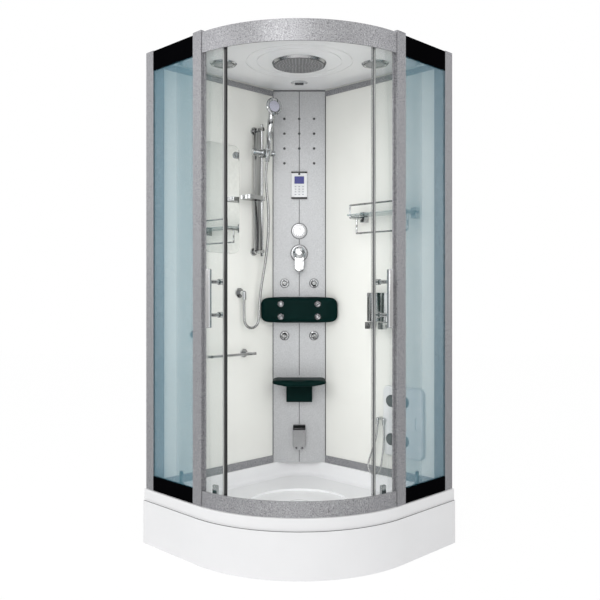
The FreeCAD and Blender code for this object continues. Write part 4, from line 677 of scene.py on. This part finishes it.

# The mist nozzles: a dark washer under each, and a dark disc in its tip painted as the shade in its mouth.
MIST_TOP = 1.840
MIST_STEP = 0.070
MIST_ROWS = ((-1, 0, 1), (-1, 0, 1), (-1, 0, 1), (-1, 1))
washers = bmesh.new()
for row, columns in enumerate(MIST_ROWS):
    for column in columns:
        place = frame_at((column * MIST_STEP, FACE_Y, MIST_TOP - MIST_STEP * row), FRONT)
        add_lathe(washers, [(0.0062, 0.0), (0.0058, 0.0010), (0.0044, 0.0012)], place, 24)
        # Painted shade: a dark disc in the nozzle's mouth.
        add_lathe(washers, [(0.0034, 0.0046), (0.0030, 0.0056), (0.0, 0.0057)], place, 16)
finish_piece("mist_washers_and_mouth_shade", washers, GROOVE_DARK, "cabin")

# The mixer's and the diverter's plates: a thin dark ring painted as shade round each plate's foot and round
# its valve, and a satin dish round the valve.
# Each row has the height of the plate, its radius and the radius of the valve.
VALVES = ((1.205, 0.0400, 0.0290), (1.310, 0.0370, 0.0260))
feet = bmesh.new()
dishes = bmesh.new()
for z, radius, inner in VALVES:
    place = frame_at((0, FACE_Y, z), FRONT)
    foot = [(radius + 0.0012, 0.0), (radius + 0.0012, 0.0012), (radius + 0.0002, 0.0014)]
    collar = [(inner + 0.0014, 0.0062), (inner + 0.0012, 0.0068), (inner, 0.0068)]
    dish = [(radius - 0.0024, 0.0061), (radius - 0.0034, 0.0066), (inner + 0.0016, 0.0064)]
    # Painted shade lines at the plate's foot and round the valve.
    add_lathe(feet, foot, place, 64)
    add_lathe(feet, collar, place, 64)
    add_lathe(dishes, dish, place, 64)
finish_piece("valve_shade_rings", feet, GROOVE_DARK, "cabin")
finish_piece("valve_dishes", dishes, DISH_SATIN, "cabin")

# The mixer lever's underside: a dark crescent painted as the shade round its tip, as rows of (reach, level)
# from the tip's middle.
TIP_ROWS = ((0.0150, 0.0014), (0.0172, 0.0016), (0.0184, 0.0006), (0.0176, -0.0030))
TIP_WIDEN = 1.12
lever_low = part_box("mixer_lever")[0]
tip = bmesh.new()
tip_place = frame_at((0, lever_low[1] + 0.0062, lever_low[2] + 0.0175), FRONT, ACROSS)
crescent = [(math.cos(math.radians(turn)), math.sin(math.radians(turn))) for turn in range(200, 341, 10)]
rows = []
for reach, level in TIP_ROWS:
    row = [Vector((TIP_WIDEN * reach * x, reach * y, level)) for x, y in crescent]
    rows.append([tip.verts.new(tip_place @ point) for point in row])
for near, far in zip(rows, rows[1:]):
    for step in range(len(crescent) - 1):
        tip.faces.new((near[step], near[step + 1], far[step + 1], far[step]))
# Painted shade under the lever's tip.
finish_piece("lever_tip_shade", tip, BLACK_PLASTIC, "mixer_lever")

# The steam outlet's dark collar.
COLLAR_PLACE = Matrix.Translation((0, FACE_Y - 0.036, 0.383))
collar = bmesh.new()
add_block(collar, (0.0585, 0.012, 0.011), COLLAR_PLACE, 0.003)
finish_piece("spout_collar", collar, BLACK_PLASTIC, "cabin")

# The vent's louvres in the ceiling.
VENT_CENTRE = Vector((0, CORNER_Y - 0.284, 1.9745))
LOUVRES = 5
LOUVRE_STEP = 0.008
LOUVRE_TILT = 28
vent = bmesh.new()
for step in range(LOUVRES):
    place = Matrix.Translation(VENT_CENTRE + Vector((0, (step - LOUVRES // 2) * LOUVRE_STEP, -0.0036)))
    add_block(vent, (0.040, 0.0052, 0.0016), place @ turned(LOUVRE_TILT, "X"), 0.0004, 1)
finish_piece("vent_louvres", vent, GREY_RUBBER, "cabin")

# A dark band painted as the shadow in the gap between the tray's rim and its apron, round the curve and along
# the straight ends.
GAP_Z = 0.1746
GAP_HALF = 0.0007
GAP_IN = 0.5480
GAP_OUT = 0.5503
GAP_RADIUS = 0.5492
STRAIGHT = 0.345
gap = bmesh.new()
for word, side in SIDES:
    add_arc(gap, GAP_IN, GAP_OUT, 0.0, 45.0, GAP_Z - GAP_HALF, GAP_Z + GAP_HALF, side, 24)
    reach = GAP_RADIUS * math.sin(math.radians(45))
    start = Vector((side * reach, CURVE_Y - reach, GAP_Z))
    along = Vector((side, 1, 0)).normalized()
    place = frame_at(start + along * STRAIGHT / 2, UP, along)
    add_block(gap, (STRAIGHT, 0.0023, 2 * GAP_HALF), place, 0.0002, 1)
finish_piece("apron_gap_shadow", gap, GROOVE_DARK, "cabin")

# ---------------------------------------------------------------- pads


def loft(mesh, levels, place, steps=10):
    """A closed form through rounded rectangles of (height, half wide, half deep, corner), bottom to top."""
    rings = []
    for height, wide, deep, corner in levels:
        outline = rounded(wide, deep, corner, corner, steps)
        rings.append([mesh.verts.new(place @ Vector((x, y, height))) for x, y in outline])
    skin(mesh, rings)
    bmesh.ops.recalc_face_normals(mesh, faces=mesh.faces)


def applied(thing):
    """Puts the mesh that an object has with its modifiers in place of its own, and gives it."""
    graph = bpy.context.evaluated_depsgraph_get()
    data = bpy.data.meshes.new_from_object(thing.evaluated_get(graph), depsgraph=graph)
    thing.modifiers.clear()
    thing.data = data
    return data


# The cover's cells, the pressure in it, and the last frame of its simulation.
CELL = 0.005
PRESSURE = 4.0
LAST_FRAME = 20


def swell(thing, held, cap):
    """Fills a cover from inside as cloth; points that held names stay, and none moves further than cap."""
    thing.modifiers.new("even", "REMESH").mode = "VOXEL"
    thing.modifiers["even"].voxel_size = CELL
    data = applied(thing)
    start = [vert.co.copy() for vert in data.vertices]
    group = thing.vertex_groups.new(name="held")
    group.add([vert.index for vert in data.vertices if held(vert.co)], 1.0, "REPLACE")
    cloth = thing.modifiers.new("cover", "CLOTH")
    cloth.settings.use_pressure = True
    cloth.settings.uniform_pressure_force = PRESSURE
    cloth.settings.vertex_group_mass = "held"
    cloth.settings.effector_weights.gravity = 0
    cloth.settings.quality = 6
    cloth.point_cache.frame_start = 1
    cloth.point_cache.frame_end = LAST_FRAME
    for frame_number in range(1, LAST_FRAME + 1):
        bpy.context.scene.frame_set(frame_number)
    data = applied(thing)
    bpy.context.scene.frame_set(1)
    for vert, was in zip(data.vertices, start):
        moved = vert.co - was
        if moved.length > cap:
            vert.co = was + moved * (cap / moved.length)
    data.update()


def carve(thing, cutter):
    """Takes the form of a bmesh out of an object, and frees it."""
    data = bpy.data.meshes.new("cutter")
    cutter.to_mesh(data)
    cutter.free()
    tool = bpy.data.objects.new("cutter", data)
    bpy.context.collection.objects.link(tool)
    cut = thing.modifiers.new("cut", "BOOLEAN")
    cut.operation = "DIFFERENCE"
    cut.object = tool
    applied(thing)
    bpy.data.objects.remove(tool)


def pad(name, levels, place, body, node, held, cap, cutter):
    """A padded piece in place of a CAD node: lofted, filled, smoothed, and cut for what passes through it."""
    mesh = bmesh.new()
    loft(mesh, levels, place)
    thing = finish_piece(name, mesh, PAD_GREEN, body, 180)
    swell(thing, held, cap)
    thing.modifiers.new("smooth", "SUBSURF").levels = 1
    applied(thing)
    carve(thing, cutter)
    thing.data.shade_smooth()
    thing.data.set_sharp_from_angle(angle=math.radians(50))
    dress(thing, PAD_GREEN)
    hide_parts(node)


# The backrest: (height, half wide, half deep, corner) from its back to its front, and a socket for each jet.
REST_LEVELS = [
    (0.003, 0.116, 0.055, 0.020), (0.012, 0.124, 0.056, 0.024), (0.062, 0.1745, 0.056, 0.028),
    (0.070, 0.1775, 0.0555, 0.029), (0.077, 0.1765, 0.0540, 0.029), (0.0815, 0.1725, 0.0500, 0.027),
]
REST_Z = 0.940
REST_FIXED = 0.020
JET_HOLD = 0.021
REST_SWELL = 0.0045
SOCKET_PROFILE = [(0.0, -0.060), (0.0154, -0.060), (0.0154, -0.100), (0.0, -0.100)]
sockets = bmesh.new()
for x, z in JETS_IN_PAD:
    add_lathe(sockets, SOCKET_PROFILE, frame_at((x, FACE_Y, z), BACK), 32)
bmesh.ops.recalc_face_normals(sockets, faces=sockets.faces)


def rest_held(point):
    """The back of the backrest, where it is fixed, and the cover round each jet."""
    if point.y > FACE_Y - REST_FIXED:
        return True
    return any(math.hypot(point.x - x, point.z - z) < JET_HOLD for x, z in JETS_IN_PAD)


pad("backrest_pad", REST_LEVELS, frame_at((0, FACE_Y, REST_Z), FRONT, ACROSS), "cabin", "backrest",
    rest_held, REST_SWELL, sockets)

# The seat: the same from its underside up, and a slot for each lug of its hinge.
SEAT_LEVELS = [
    (0.000, 0.060, 0.060, 0.030), (0.002, 0.100, 0.078, 0.034), (0.009, 0.1235, 0.086, 0.037),
    (0.018, 0.1240, 0.0865, 0.037), (0.023, 0.1190, 0.082, 0.034), (0.026, 0.104, 0.070, 0.028),
]
SEAT_PLACE = (0, FACE_Y - 0.100, 0.5965)
SEAT_FIXED_Z = 0.6005
BRACKET_HALF = 0.062
HINGE_DEPTH = 0.045
HINGE_HALF = 0.07
SEAT_SWELL = 0.0040
SLOT_X = 0.054
SLOT_SIZE = Matrix.Diagonal((0.0104, 0.0396, 0.0232, 1))
slots = bmesh.new()
for word, side in SIDES:
    middle = Matrix.Translation((side * SLOT_X, FACE_Y - 0.0198, 0.606))
    bmesh.ops.create_cube(slots, size=1.0, matrix=middle @ SLOT_SIZE)


def seat_held(point):
    """The underside of the seat over its bracket, and the cover round its hinge."""
    over_bracket = point.z < SEAT_FIXED_Z and abs(point.x) < BRACKET_HALF
    round_hinge = point.y > FACE_Y - HINGE_DEPTH and abs(point.x) < HINGE_HALF
    return over_bracket or round_hinge


pad("seat_pad", SEAT_LEVELS, Matrix.Translation(SEAT_PLACE), "seat", "seat",
    seat_held, SEAT_SWELL, slots)

# ---------------------------------------------------------------- floor and light


# How bright the surroundings are where they are seen, and how strongly they light the cabin.
SEEN_WHITE = 1.0
LIT_GREY = 0.62
# How bright the floor is to the camera, and how far that takes the place of its own shading.
FLOOR_GLOW = 1.02
FLOOR_SHARE = 0.94


def sky(world):
    """White where the camera sees it, mirrored, through glass or plainly, and a level light for the rest."""
    path = node_of(world, "LightPath")
    first = node_of(world, "Math", operation="MAXIMUM")
    second = node_of(world, "Math", operation="MAXIMUM")
    wire(world, path, "Is Camera Ray", first, 0)
    wire(world, path, "Is Glossy Ray", first, 1)
    wire(world, first, 0, second, 0)
    wire(world, path, "Is Transmission Ray", second, 1)
    backdrop = world.node_tree.nodes["Background"]
    backdrop.inputs["Color"].default_value = (1, 1, 1, 1)
    wire(world, spread(world, second, 0, LIT_GREY, SEEN_WHITE), "Result", backdrop, "Strength")


studio = bpy.data.worlds.new("studio")
bpy.context.scene.world = studio
studio.use_nodes = True
sky(studio)

floor_mesh = bpy.data.meshes.new("floor")
floor_mesh.from_pydata([(-9, -9, 0), (9, -9, 0), (9, 9, 0), (-9, 9, 0)], [], [(0, 1, 2, 3)])
floor = bpy.data.objects.new("floor", floor_mesh)
bpy.context.collection.objects.link(floor)
FLOOR_WHITE = material("floor_white", (0.90, 0.90, 0.90), 0.6)
glow = node_of(FLOOR_WHITE, "Emission", Color=(1, 1, 1, 1), Strength=FLOOR_GLOW)
path = node_of(FLOOR_WHITE, "LightPath")
share = node_of(FLOOR_WHITE, "Math", operation="MULTIPLY")
share.inputs[1].default_value = FLOOR_SHARE
blend = node_of(FLOOR_WHITE, "MixShader")
wire(FLOOR_WHITE, path, "Is Camera Ray", share, 0)
wire(FLOOR_WHITE, share, 0, blend, 0)
wire(FLOOR_WHITE, main_of(FLOOR_WHITE), 0, blend, 1)
wire(FLOOR_WHITE, glow, 0, blend, 2)
wire(FLOOR_WHITE, blend, 0, FLOOR_WHITE.node_tree.nodes["Material Output"], "Surface")
dress(floor, FLOOR_WHITE)


def lamp(name, place, target, wide, high, power, shows=True):
    """A soft rectangular lamp of some watts, out of the camera's sight; glossy faces see it if it shows."""
    light = bpy.data.lights.new(name, "AREA")
    light.shape = "RECTANGLE"
    light.size = wide
    light.size_y = high
    light.energy = power
    thing = bpy.data.objects.new(name, light)
    thing.visible_camera = False
    thing.visible_glossy = shows
    thing.location = place
    thing.rotation_euler = (Vector(target) - Vector(place)).to_track_quat("-Z", "Y").to_euler()
    bpy.context.collection.objects.link(thing)


CABIN_MIDDLE = (0, 0, 1.0)
lamp("front_lamp", (-1.0, -4.2, 2.4), CABIN_MIDDLE, 2.4, 2.4, 52)
lamp("right_lamp", (3.2, -1.6, 2.2), CABIN_MIDDLE, 2.0, 2.0, 10)
lamp("left_lamp", (-3.2, -1.2, 2.2), CABIN_MIDDLE, 2.0, 2.0, 20)
# This one stands in the doorway and lights the inside.
lamp("door_lamp", (0.02, -0.42, 1.0), (0.02, 1, 1.0), 0.42, 1.5, 3.6, False)
